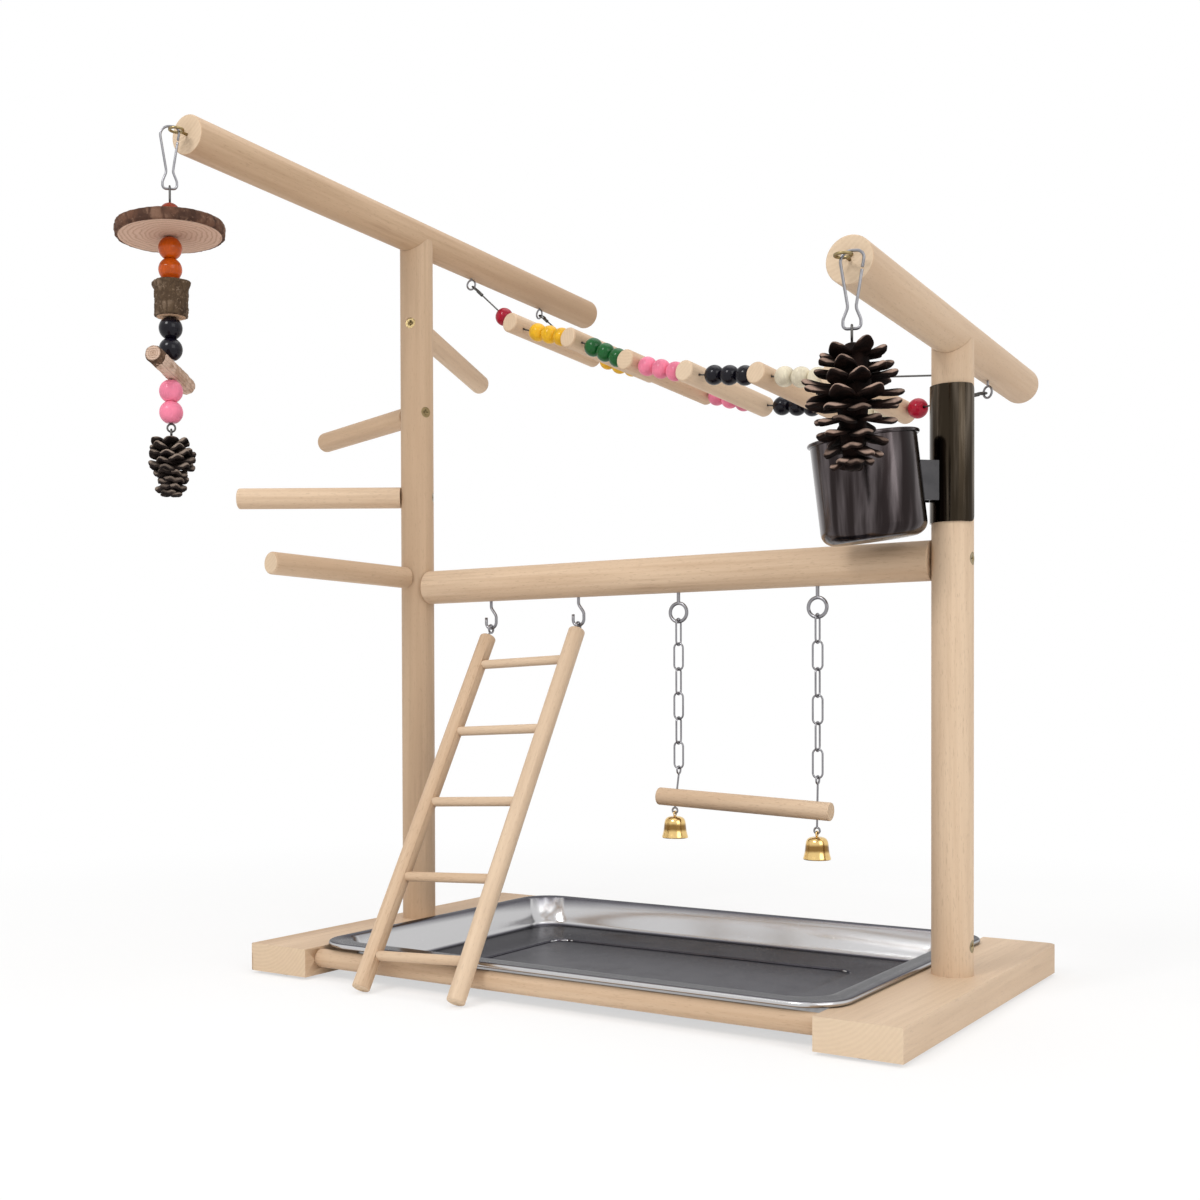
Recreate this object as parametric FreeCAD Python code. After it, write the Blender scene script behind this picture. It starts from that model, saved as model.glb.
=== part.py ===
import FreeCAD, Part
import math
import os

# Parrot play stand: two end boards, two posts, perches, ladder, swing, bead bridge,
# hanging toys, feeding cup and a lift-out tray.
# Millimetres. X to the right, Y to the rear, Z up. The origin is on the table, midway
# between the two posts.

Vec = FreeCAD.Vector
X_AXIS = Vec(1, 0, 0)
Y_AXIS = Vec(0, 1, 0)
Z_AXIS = Vec(0, 0, 1)

# ------------------------------------------------------------------ clearances
RUN_GAP = 0.3           # between pieces that move against each other
SEAT_GAP = 0.1          # between pieces that are screwed or glued together
FLOOR_GAP = 0.05        # ladder feet above the table

# ------------------------------------------------------------------ timber frame
POST_SPACING = 415.0
POST_D = 25.0
POST_EAR_DROP = 3.0     # the saddle's ears stop this far below the perch's axis
BOARD_W = 50.0
BOARD_T = 19.0
BOARD_AHEAD = 155.0     # board in front of the post
BOARD_BEHIND = 145.0    # board behind the post
BOARD_EDGE = 1.2        # rounding along the outer top edges
BOARD_CORNER = 7.0      # rounding of the right board's rear outer corner
FOOT_D = 16.0
FOOT_T = 2.0
FOOT_INSET = 15.0       # pad centre from the board's end
CROSSBAR_D = 25.0
CROSSBAR_Z = 274.0
PERCH_D = 25.0
PERCH_EDGE = 0.8
LEFT_PERCH_Z = 542.3
LEFT_PERCH_AHEAD = 246.1
LEFT_PERCH_BEHIND = 269.2
LEFT_PERCH_YAW = 3.13
RIGHT_PERCH_Z = 409.75
RIGHT_PERCH_AHEAD = 186.2
RIGHT_PERCH_BEHIND = 173.4
RIGHT_PERCH_YAW = 2.59
RAIL_D = 12.5
RAIL_SOCKET = 10.0      # depth of the rail sockets in the boards
RAIL_INSET = 16.0       # rail axis from the board's end
RAIL_RISE = 11.0        # rail axis above the board's underside

# Pegs on the left post: height, turn from straight back towards the left, tilt upwards
PEG_D = 16.0
PEG_REACH = 140.0       # tip from the post's axis
PEG_EDGE = 1.8
TOP_PEG_PLACE = (473.4, 15.5, -6.6)
UPPER_PEG_PLACE = (407.2, 72.0, -1.0)
MIDDLE_PEG_PLACE = (343.6, 120.4, 0.4)
LOWER_PEG_PLACE = (281.2, 171.2, 1.6)

# ------------------------------------------------------------------ screws
SCREW_L = 45.0
SCREW_D = 4.0
SCREW_HEAD_D = 8.0
SCREW_CONE_H = 2.4
SCREW_SINK = 0.45       # head below the crest of the round post
CROSS_W = 0.9           # cross recess: slot width, span and depth
CROSS_SPAN = 4.6
CROSS_DEPTH = 1.3
SIDE_SCREW_L = 9.0
SCREW_TIP_SHARE = 0.25
SIDE_SCREW_Z = 39.0

# ------------------------------------------------------------------ screw eyes
EYE_WIRE_D = 1.7
EYE_D = 10.0            # outside of the ring
EYE_BITE = 12.0         # thread in the wood
EYE_REACH = 9.0         # ring centre in front of the perch's end
BRIDGE_EYE_D = 9.0
BRIDGE_EYE_WIRE_D = 1.5
SWING_EYE_D = 15.0
SWING_EYE_WIRE_D = 2.4
SWING_EYE_DROP = 13.5   # ring centre below the crossbar

# ------------------------------------------------------------------ ladder
LADDER_HOOK_WIRE_D = 2.2
LADDER_HOOK_BOWL = 4.5  # centre-line radius of the bowl
LADDER_HOOK_DROP = 20.0  # lowest point of the bowl's centre line below the crossbar
LADDER_HOOK_KINK = 6.0  # height over which the shank swings out
LADDER_HOOK_TIP = 8.0   # open tip above the bowl's lowest point
LADDER_X = -138.0       # left hook
LADDER_W = 76.5         # between the two rails' axes
LADDER_RAIL_D = 12.0
LADDER_RUNG_D = 6.5
LADDER_RUNGS = 5
LADDER_FIRST_RUNG = 25.0  # from the left rail's top end
LADDER_RUNG_PITCH = 58.5
LADDER_SKEW = 3.0       # feet swing this many degrees to the right
RUNG_SOCKET_SHARE = 0.6  # depth of a rung's socket, of the rail's radius
LADDER_FOOT_AHEAD = 27.0  # foot in front of the tray's rim
LADDER_STEM = 6.8       # mean distance from the hinge line to a rail's top
LADDER_EYE_WIRE_D = 1.6
LADDER_EYE_BORE = 4.2   # inside of the ring
LADDER_EDGE = 0.8

# ------------------------------------------------------------------ swing
SWING_X = 19.0          # left chain
SWING_W = 101.0         # between the chains
LINK_WIRE_D = 1.3
LINK_W = 8.0
LINK_COUNT = 6
LEFT_LINK_L = 19.5
RIGHT_LINK_L = 20.1
SWING_PERCH_D = 12.0
SWING_PERCH_L = 125.6
SWING_PERCH_OVER = 15.4  # left end outside the left chain
SWING_PERCH_Z = 122.2   # axis at the left end
SWING_PERCH_DROOP = 2.5
SWING_WIRE_D = 1.3
SWING_LOOP_R = 2.5      # centre-line radius of the wires' top loops
LEFT_WIRE_LEAN = 3.0    # the wire's foot is this far left of its chain
RIGHT_WIRE_LEAN = 0.5
BELL_LOOP_R = 1.9
LEFT_BELL_LOOP_DROP = 10.8   # loop's lowest point below the perch's axis
RIGHT_BELL_LOOP_DROP = 14.8

# ------------------------------------------------------------------ bells
BELL_TOP_D = 12.5
BELL_MOUTH_D = 18.0
BELL_H = 15.0
BELL_WALL = 0.9
BELL_SHOULDER = 2.5
BELL_RING_R = 1.7       # centre-line radius of the ring on the crown
BELL_WIRE_D = 1.0
CLAPPER_D = 4.4
CLAPPER_DROP = 5.6      # ball centre below the crown's inside

# ------------------------------------------------------------------ tray
TRAY_LAP = 6.0          # rim over each board
TRAY_SHIFT = 1.5        # whole tray to the right
TRAY_FRONT = 143.0
TRAY_BACK = 136.0
TRAY_SHEET = 1.0
TRAY_RIM_D = 3.4
TRAY_CORNER = 27.0
TRAY_FLANGE = 12.0
TRAY_WALL_SLOPE = 6.0   # wall leans in by this much from flange to floor bend
TRAY_BEND = 6.0         # outer radius between wall and floor
TRAY_FLOOR_Z = 3.0      # underside of the floor above the table
PANEL_SIDE = 67.0       # sunk panel in from the rim at the sides
PANEL_END = 73.0        # and at the front and rear
PANEL_STEP = 1.2
PANEL_CORNER = 14.0

# ------------------------------------------------------------------ feeding cup
CUP_D = 63.0
CUP_H = 61.0
CUP_WALL = 0.9
CUP_FOOT_R = 8.0
CUP_RIM_D = 2.6
CUP_FROM_POST = 59.0    # cup axis from the post's axis, at the rim
CUP_TURN = 47.0         # towards the front from the inward side
CUP_TILT = 7.5
CUP_RIM_Z = 345.0
CLIP_H = 83.0
CLIP_Z = 296.0          # lower end
CLIP_WALL = 0.9
CLIP_OPENING = 100.0
CLIP_CORNER = 4.0
CLIP_BORE_GAP = 0.1     # sleeve off the post
BRACKET_H = 24.0
BRACKET_W = 13.0
BRACKET_TOP_DROP = 12.0  # below the cup's rim
BRACKET_SHEET = 1.6

# ------------------------------------------------------------------ snap hooks
SNAP_WIRE_D = 1.5
SNAP_L = 40.0
SNAP_BOW_W = 13.0
SNAP_WAIST_W = 5.4
SNAP_WAIST_DROP = 28.0
SNAP_BULB_W = 10.2
SNAP_BULB_DROP = 34.0
SNAP_CORNER_SHARE = 1.12  # top corners of the bow before they are bent, of its half width
SNAP_GATE = (0.30, 0.34)  # gate ends along the right leg
LEFT_HOOK_TURN = 44.0   # plane of the hook from the X axis
RIGHT_HOOK_TURN = 21.0

# ------------------------------------------------------------------ left toy
TOY_WIRE_D = 1.2
TOY_LOOP_W = 4.6
TOY_LOOP_L = 11.0       # top loop above the first bead
TOP_BEAD_D = 13.0
TOP_BEAD_H = 12.5
DISC_D = 68.0
DISC_T = 7.6
DISC_EDGE_SHARE = 1 / 6
DISC_TILT = 2.5
BEAD_D = 14.6
BEAD_H = 13.0
BEAD_BORE_GAP = 0.4     # bead bore off its wire
LOG_D = 21.5
LOG_L = 22.5
LOG_EDGE = 0.8
KNOT_D = 6.5
LOG_KNOTS = ((160, 0.9), (-20, 0.78), (70, 0.35))  # turn about the wire, height share
STICK_D = 11.3
STICK_L = 55.0
STICK_EDGE = 1.0
STICK_TILT = 10.0
STICK_TURN = 25.0       # near end from straight ahead, towards the right
TOY_EYE_R = 2.4

# ------------------------------------------------------------------ pine cones
SMALL_CONE_L = 36.0
SMALL_CONE_D = 33.5
SMALL_CONE_ROWS = 7
SMALL_CONE_TURNS = 7    # scales in a row
SMALL_SCALE_W = 9.0
SMALL_SCALE_T = 2.6
LARGE_CONE_L = 64.0
LARGE_CONE_D = 55.0
LARGE_CONE_ROWS = 9
LARGE_CONE_TURNS = 7
LARGE_SCALE_W = 11.0
LARGE_SCALE_T = 2.8
CONE_TOP_SHARE = 0.62   # reach of the top scales, of the widest
CONE_WIDEST = 0.3       # where the cone is widest, as a share of its length
CONE_TIP_LOSS = 0.72    # loss of reach at the tip
CONE_LIFT = 28.0        # upward slope of the top scales
CONE_LIFT_LOSS = 75.0   # how far the slope falls by the tip
CONE_CORE_SHARE = 0.17  # core radius, of the cone's width
SCALE_ROOT_SHARE = 0.35
SCALE_SHOULDER = 0.72   # where a scale is widest, as a share of its length
SCALE_SHRINK = 0.45     # share of a scale's width that follows the cone's reach
CONE_EYE_W = 5.7
CONE_EYE_L = 8.9
CONE_EYE_WIRE_D = 1.3
CONE_EYE_BITE = 9.0

# ------------------------------------------------------------------ bead bridge
BAR_D = 15.5
BAR_L = 105.0
BAR_EDGE = 1.5
BAR_YAW = 9.0           # rear end towards the right
BAR_TILT = 6.5          # rear end lower
STRING_INSET = 9.0      # string from the bar's end
STRING_D = 1.2
STRING_BORE_GAP = 0.5   # bar bore off the string
STRING_BEND = 4.0       # centre-line radius where a string leaves a bar
BRIDGE_BEAD_D = 14.2
BRIDGE_BEAD_H = 13.0
BRIDGE_BEAD_GAP = 0.15
BRIDGE_LOOP_R = 3.0
CRIMP_D = 2.6
CRIMP_L = 6.0
LEFT_EYE_FRONT = 76.7   # along the left perch, from the post
LEFT_EYE_REAR = 185.2
LEFT_EYE_DROP = 5.2     # ring centre below the perch
RIGHT_EYE_FRONT = 20.0
RIGHT_EYE_REAR = 83.0
RIGHT_EYE_DROP = 7.4
BAR_FRONT_ENDS = (
    (-170.0, 70.6, 487.4),
    (-110.0, 62.0, 465.5),
    (-55.0, 54.0, 440.0),
    (-1.5, 46.0, 423.5),
    (58.5, 37.5, 413.0),
    (116.0, 29.0, 403.0),
)
BRIDGE_SPANS = (
    ("red", 1), ("yellow", 3), ("green", 3), ("pink", 3), ("black", 3), ("white", 3), ("red", 1),
)

# ------------------------------------------------------------------ shared places
POST_X = POST_SPACING / 2
POST_R = POST_D / 2
BOARD_TOP = FOOT_T + BOARD_T
CROSSBAR_UNDER = CROSSBAR_Z - CROSSBAR_D / 2
LEFT_POST_FOOT = Vec(-POST_X, 0, BOARD_TOP)
RIGHT_POST_FOOT = Vec(POST_X, 0, BOARD_TOP)
LADDER_HINGE_Z = CROSSBAR_UNDER - LADDER_HOOK_DROP


# ------------------------------------------------------------------ helpers
def rod(start, end, radius):
    """A round bar between two points."""
    axis = end - start
    return Part.makeCylinder(radius, axis.Length, start, axis)


def turned(degrees):
    """Level direction, turned from the X axis towards Y."""
    angle = math.radians(degrees)
    return Vec(math.cos(angle), math.sin(angle), 0)


def soften(solid, radius, wanted):
    """Round the edges of a solid that the test picks."""
    edges = [edge for edge in solid.Edges if wanted(edge)]
    return solid.makeFillet(radius, edges)


def is_circle(edge):
    return isinstance(edge.Curve, Part.Circle)


def revolve(wire_edges, base, axis):
    """Full turn of a closed outline."""
    face = Part.Face(Part.Wire(wire_edges))
    return face.revolve(base, axis, 360)


def lines(points):
    """Straight edges through the points, closed."""
    ring = list(points) + [points[0]]
    return [Part.LineSegment(a, b).toShape() for a, b in zip(ring, ring[1:])]


def without_straight(points):
    """The same route without the points where it turns by under a degree."""
    kept = [points[0]]
    for corner, after in zip(points[1:], points[2:]):
        turn = math.degrees((corner - kept[-1]).getAngle(after - corner))
        if turn > 1.0:
            kept.append(corner)
    return kept + [points[-1]]


def bent_path(points, bend):
    """Straight runs joined by tangent arcs, each as large as its runs allow."""
    edges = []
    start = points[0]
    for before, corner, after in zip(points, points[1:], points[2:]):
        inward = (before - corner).normalize()
        outward = (after - corner).normalize()
        half = inward.getAngle(outward) / 2
        room = 0.5 * min((before - corner).Length, (after - corner).Length)
        radius = min(bend, room * math.tan(half))
        cut = radius / math.tan(half)
        first = corner + inward * cut
        last = corner + outward * cut
        middle_way = (inward + outward).normalize()
        middle = corner + middle_way * (radius / math.sin(half) - radius)
        if (first - start).Length > 0.001:
            edges.append(Part.LineSegment(start, first).toShape())
        edges.append(Part.Arc(first, middle, last).toShape())
        start = last
    if (points[-1] - start).Length > 0.001:
        edges.append(Part.LineSegment(start, points[-1]).toShape())
    return edges


def bent_wire(points, diameter, bend):
    """Round wire along straight runs and arcs, square at both ends."""
    path = Part.Wire(bent_path(points, bend))
    profile = Part.Wire(Part.makeCircle(diameter / 2, points[0], points[1] - points[0]))
    return path.makePipeShell([profile], True, False)


def long_ring(centre, across, along, width, length, wire_d):
    """Chain link or long ring: two half rings and two straight sides."""
    wire_r = wire_d / 2
    half_w = width / 2 - wire_r
    half_run = length / 2 - wire_r - half_w
    pieces = []
    for side in (1, -1):
        rail = centre + across * (half_w * side)
        pieces.append(rod(rail - along * half_run, rail + along * half_run, wire_r))
        middle = centre + along * (half_run * side)
        profile = Part.Face(Part.Wire(Part.makeCircle(wire_r, middle + across * half_w, along)))
        spin = across.cross(along) * side
        pieces.append(profile.revolve(middle, spin, 180))
    return pieces[0].fuse(pieces[1:]).removeSplitter()


def eye(ring_centre, ring_normal, shank_way, outer_d, wire_d, shank_end):
    """Ring with a round shank that leaves it radially and ends shank_end from its centre."""
    mean_r = (outer_d - wire_d) / 2
    ring = Part.makeTorus(mean_r, wire_d / 2, ring_centre, ring_normal)
    shank = rod(ring_centre + shank_way * mean_r, ring_centre + shank_way * shank_end, wire_d / 2)
    return ring.fuse(shank)


def bead(centre, axis, diameter, height, bore_r):
    """Barrel bead: a round belly, flat ends and a straight bore."""
    belly = diameter / 2
    half = height / 2
    end_r = math.sqrt(max(belly * belly - half * half, (bore_r + 0.5) ** 2))
    bulge = Part.Arc(Vec(end_r, 0, -half), Vec(belly, 0, 0), Vec(end_r, 0, half)).toShape()
    outline = [
        bulge,
        Part.LineSegment(Vec(end_r, 0, half), Vec(bore_r, 0, half)).toShape(),
        Part.LineSegment(Vec(bore_r, 0, half), Vec(bore_r, 0, -half)).toShape(),
        Part.LineSegment(Vec(bore_r, 0, -half), Vec(end_r, 0, -half)).toShape(),
    ]
    solid = revolve(outline, Vec(0, 0, 0), Z_AXIS)
    solid.Placement = FreeCAD.Placement(centre, FreeCAD.Rotation(Z_AXIS, axis))
    return solid


def screw(head, way, length):
    """Countersunk wood screw with a cross recess; head is the centre of its flat top."""
    head_r = SCREW_HEAD_D / 2
    shank_r = SCREW_D / 2
    cone = Part.makeCone(head_r, shank_r, SCREW_CONE_H, head, way)
    point_l = SCREW_D
    shank = rod(head + way * SCREW_CONE_H, head + way * (length - point_l), shank_r)
    point = Part.makeCone(shank_r, shank_r * SCREW_TIP_SHARE, point_l, head + way * (length - point_l), way)
    solid = cone.fuse([shank, point]).removeSplitter()
    side = way.cross(Z_AXIS if abs(way.z) < 0.9 else X_AXIS).normalize()
    for slot_way in (side, way.cross(side)):
        slot = Part.makeBox(CROSS_SPAN, CROSS_W, 2 * CROSS_DEPTH)
        slot.translate(Vec(-CROSS_SPAN / 2, -CROSS_W / 2, -CROSS_DEPTH))
        turn = FreeCAD.Rotation(slot_way, way.cross(slot_way), way, "ZXY")
        slot.Placement = FreeCAD.Placement(head, turn).multiply(slot.Placement)
        solid = solid.cut(slot)
    return solid


def screw_hole(head, way, length):
    """Room for a screw: countersink, bore and the open way above the head."""
    head_r = SCREW_HEAD_D / 2 + SEAT_GAP
    shank_r = SCREW_D / 2 + SEAT_GAP
    above = rod(head - way * SCREW_HEAD_D, head, head_r)
    cone = Part.makeCone(head_r, shank_r, SCREW_CONE_H + SEAT_GAP, head, way)
    bore = rod(head, head + way * (length + SEAT_GAP), shank_r)
    return above.fuse([cone, bore])


def shank_hole(ring_centre, shank_way, wire_d, shank_end):
    """Room for the shank of an eye or hook."""
    radius = wire_d / 2 + SEAT_GAP
    return rod(ring_centre, ring_centre + shank_way * (shank_end + SEAT_GAP), radius)


# ------------------------------------------------------------------ places on the frame
def perch_way(yaw):
    """Rearward direction of a perch."""
    return turned(90 + yaw)


def perch_point(side, along):
    """Point on a perch's axis, measured rearwards from its post."""
    if side == "left":
        return Vec(-POST_X, 0, LEFT_PERCH_Z) + perch_way(LEFT_PERCH_YAW) * along
    return Vec(POST_X, 0, RIGHT_PERCH_Z) + perch_way(RIGHT_PERCH_YAW) * along


def peg_way(place):
    """Direction of a peg away from the left post."""
    level = turned(90 + place[1])
    tilt = math.radians(place[2])
    return level * math.cos(tilt) + Z_AXIS * math.sin(tilt)


def screw_places():
    """Head centre and direction of each frame screw."""
    places = []
    head_r = POST_R - SCREW_SINK
    for place in (TOP_PEG_PLACE, UPPER_PEG_PLACE, MIDDLE_PEG_PLACE, LOWER_PEG_PLACE):
        way = peg_way(place)
        places.append((Vec(-POST_X, 0, place[0]) - way * head_r, way))
    for side in (-1, 1):
        outside = Vec(side * (POST_X + head_r), 0, CROSSBAR_Z)
        places.append((outside, X_AXIS * -side))
        places.append((Vec(side * POST_X, 0, FOOT_T + SCREW_SINK), Z_AXIS))
    perch_r = PERCH_D / 2 - SCREW_SINK
    for side in ("left", "right"):
        places.append((perch_point(side, 0) + Z_AXIS * perch_r, Z_AXIS * -1))
    return places


def side_screw_place():
    """The single short screw low on the right post's outer side."""
    return Vec(POST_X + POST_R - SCREW_SINK, 0, SIDE_SCREW_Z), X_AXIS * -1


def front_eye(side):
    """Ring centre and rearward shank direction of a perch's front eye."""
    if side == "left":
        ahead, way = LEFT_PERCH_AHEAD, perch_way(LEFT_PERCH_YAW)
    else:
        ahead, way = RIGHT_PERCH_AHEAD, perch_way(RIGHT_PERCH_YAW)
    return perch_point(side, -ahead - EYE_REACH), way


def bridge_eye_places():
    """Ring centres of the four bridge eyes: left front, left rear, right front, right rear."""
    left_drop = PERCH_D / 2 + LEFT_EYE_DROP
    right_drop = PERCH_D / 2 + RIGHT_EYE_DROP
    return (
        perch_point("left", LEFT_EYE_FRONT) - Z_AXIS * left_drop,
        perch_point("left", LEFT_EYE_REAR) - Z_AXIS * left_drop,
        perch_point("right", RIGHT_EYE_FRONT) - Z_AXIS * right_drop,
        perch_point("right", RIGHT_EYE_REAR) - Z_AXIS * right_drop,
    )


# ------------------------------------------------------------------ timber frame pieces
def frame_holes():
    """Every screw and shank bore in the timber."""
    holes = [screw_hole(head, way, SCREW_L) for head, way in screw_places()]
    head, way = side_screw_place()
    holes.append(screw_hole(head, way, SIDE_SCREW_L))
    for side in ("left", "right"):
        centre, back = front_eye(side)
        holes.append(shank_hole(centre, back, EYE_WIRE_D, EYE_REACH + EYE_BITE))
    for index, centre in enumerate(bridge_eye_places()):
        drop = LEFT_EYE_DROP if index < 2 else RIGHT_EYE_DROP
        holes.append(shank_hole(centre, Z_AXIS, BRIDGE_EYE_WIRE_D, drop + EYE_BITE))
    for x in (SWING_X, SWING_X + SWING_W):
        centre = Vec(x, 0, CROSSBAR_UNDER - SWING_EYE_DROP)
        holes.append(shank_hole(centre, Z_AXIS, SWING_EYE_WIRE_D, SWING_EYE_DROP + EYE_BITE))
    for x in (LADDER_X, LADDER_X + LADDER_W):
        holes.append(shank_hole(Vec(x, 0, CROSSBAR_UNDER), Z_AXIS, LADDER_HOOK_WIRE_D, EYE_BITE))
    return Part.makeCompound(holes)


def board(side):
    """End board with its rail sockets."""
    length = BOARD_AHEAD + BOARD_BEHIND
    solid = Part.makeBox(BOARD_W, length, BOARD_T)
    solid.translate(Vec(side * POST_X - BOARD_W / 2, -BOARD_AHEAD, FOOT_T))
    outer_x = side * (POST_X + BOARD_W / 2)

    def outer_edge(edge):
        on_side = abs(edge.BoundBox.XMin - outer_x) < 0.01 and abs(edge.BoundBox.XMax - outer_x) < 0.01
        return on_side and edge.BoundBox.YLength > 1

    if side > 0:
        def rear_corner(edge):
            upright = edge.BoundBox.ZLength > 1
            at_rear = abs(edge.BoundBox.YMin - BOARD_BEHIND) < 0.01
            return upright and at_rear and abs(edge.BoundBox.XMin - outer_x) < 0.01
        solid = soften(solid, BOARD_CORNER, rear_corner)
    else:
        solid = soften(solid, BOARD_EDGE, outer_edge)
    inner_x = side * (POST_X - BOARD_W / 2)
    for y in rail_rows():
        mouth = Vec(inner_x - side, y, rail_z())
        bottom = Vec(inner_x + side * (RAIL_SOCKET + SEAT_GAP), y, rail_z())
        solid = solid.cut(rod(mouth, bottom, RAIL_D / 2 + SEAT_GAP))
    return solid


def rail_z():
    return FOOT_T + RAIL_RISE


def rail_rows():
    return (-BOARD_AHEAD + RAIL_INSET, BOARD_BEHIND - RAIL_INSET)


def rail(y):
    """Round rail between the two boards, glued into their sockets."""
    end_x = POST_X - BOARD_W / 2 + RAIL_SOCKET
    return rod(Vec(-end_x, y, rail_z()), Vec(end_x, y, rail_z()), RAIL_D / 2)


def feet():
    """Four round pads under the boards' ends."""
    pads = []
    for side in (-1, 1):
        for y in (-BOARD_AHEAD + FOOT_INSET, BOARD_BEHIND - FOOT_INSET):
            pad = Part.makeCylinder(FOOT_D / 2, FOOT_T, Vec(side * POST_X, y, 0))
            pads.append(pad)
    return Part.makeCompound(pads)


def post(foot, perch_z, yaw):
    """Upright with a saddle under its perch."""
    top = perch_z - POST_EAR_DROP
    solid = Part.makeCylinder(POST_R, top - foot.z, foot)
    way = perch_way(yaw) * PERCH_D
    crest = Vec(foot.x, 0, perch_z)
    return solid.cut(rod(crest - way, crest + way, PERCH_D / 2 + SEAT_GAP))


def perch(side):
    """Round perch that lies across the top of its post."""
    if side == "left":
        ahead, behind = LEFT_PERCH_AHEAD, LEFT_PERCH_BEHIND
    else:
        ahead, behind = RIGHT_PERCH_AHEAD, RIGHT_PERCH_BEHIND
    solid = rod(perch_point(side, -ahead), perch_point(side, behind), PERCH_D / 2)
    return soften(solid, PERCH_EDGE, is_circle)


def crossbar():
    """Round bar with flat ends between the posts."""
    end_x = POST_X - POST_R - SEAT_GAP
    return rod(Vec(-end_x, 0, CROSSBAR_Z), Vec(end_x, 0, CROSSBAR_Z), CROSSBAR_D / 2)


def peg(place):
    """Side peg; its inner end is cut upright where it meets the post."""
    way = peg_way(place)
    root = Vec(-POST_X, 0, place[0])
    solid = rod(root, root + way * PEG_REACH, PEG_D / 2)
    tip = root + way * PEG_REACH

    def tip_edge(edge):
        return is_circle(edge) and (edge.Curve.Center - tip).Length < 0.01

    solid = soften(solid, PEG_EDGE, tip_edge)
    level = Vec(way.x, way.y, 0).normalize()
    block = Part.makeBox(2 * PEG_D, 2 * PEG_D, 4 * PEG_D)
    block.translate(Vec(-2 * PEG_D, -PEG_D, -2 * PEG_D))
    face = root + level * (POST_R + SEAT_GAP)
    block.Placement = FreeCAD.Placement(face, FreeCAD.Rotation(X_AXIS, level)).multiply(block.Placement)
    return solid.cut(block)


def timber_frame():
    """All wooden frame pieces, bored for their screws and eyes."""
    front_y, rear_y = rail_rows()
    pieces = {
        "left_board": board(-1),
        "right_board": board(1),
        "front_rail": rail(front_y),
        "rear_rail": rail(rear_y),
        "left_post": post(LEFT_POST_FOOT, LEFT_PERCH_Z, LEFT_PERCH_YAW),
        "right_post": post(RIGHT_POST_FOOT, RIGHT_PERCH_Z, RIGHT_PERCH_YAW),
        "crossbar": crossbar(),
        "left_perch": perch("left"),
        "right_perch": perch("right"),
        "top_peg": peg(TOP_PEG_PLACE),
        "upper_peg": peg(UPPER_PEG_PLACE),
        "middle_peg": peg(MIDDLE_PEG_PLACE),
        "lower_peg": peg(LOWER_PEG_PLACE),
    }
    holes = frame_holes()
    pieces = {name: solid.cut(holes) for name, solid in pieces.items()}
    pieces["board_feet"] = feet()
    pieces["frame_screws"] = Part.makeCompound(
        [screw(head, way, SCREW_L) for head, way in screw_places()])
    head, way = side_screw_place()
    pieces["post_side_screw"] = screw(head, way, SIDE_SCREW_L)
    return pieces


# ------------------------------------------------------------------ eyes and hooks
def ladder_hook(x):
    """Open wire hook under the crossbar; its bowl's lowest point is on the ladder's hinge line."""
    low = LADDER_HINGE_Z
    bowl = LADDER_HOOK_BOWL
    neck = low + 2 * bowl
    points = [
        Vec(x, 0, CROSSBAR_UNDER + EYE_BITE),
        Vec(x, 0, neck + LADDER_HOOK_KINK),
        Vec(x + bowl, 0, neck),
        Vec(x + bowl, 0, low),
        Vec(x - bowl, 0, low),
        Vec(x - bowl, 0, low + LADDER_HOOK_TIP),
    ]
    return bent_wire(points, LADDER_HOOK_WIRE_D, bowl)


def wire_fittings():
    """Screw eyes and hooks that are fixed in the timber."""
    fronts = []
    for side in ("left", "right"):
        centre, back = front_eye(side)
        fronts.append(eye(centre, Z_AXIS, back, EYE_D, EYE_WIRE_D, EYE_REACH + EYE_BITE))
    bridges = []
    for index, centre in enumerate(bridge_eye_places()):
        drop = LEFT_EYE_DROP if index < 2 else RIGHT_EYE_DROP
        normal = string_side(bridge_string(index % 2), index > 1)
        bridges.append(eye(centre, normal, Z_AXIS, BRIDGE_EYE_D, BRIDGE_EYE_WIRE_D, drop + EYE_BITE))
    swings = []
    for x in (SWING_X, SWING_X + SWING_W):
        centre = Vec(x, 0, CROSSBAR_UNDER - SWING_EYE_DROP)
        swings.append(eye(centre, Y_AXIS, Z_AXIS, SWING_EYE_D, SWING_EYE_WIRE_D,
                          SWING_EYE_DROP + EYE_BITE))
    hooks = [ladder_hook(x) for x in (LADDER_X, LADDER_X + LADDER_W)]
    return {
        "perch_eyes": Part.makeCompound(fronts),
        "bridge_eyes": Part.makeCompound(bridges),
        "swing_eyes": Part.makeCompound(swings),
        "ladder_hooks": Part.makeCompound(hooks),
    }


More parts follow.
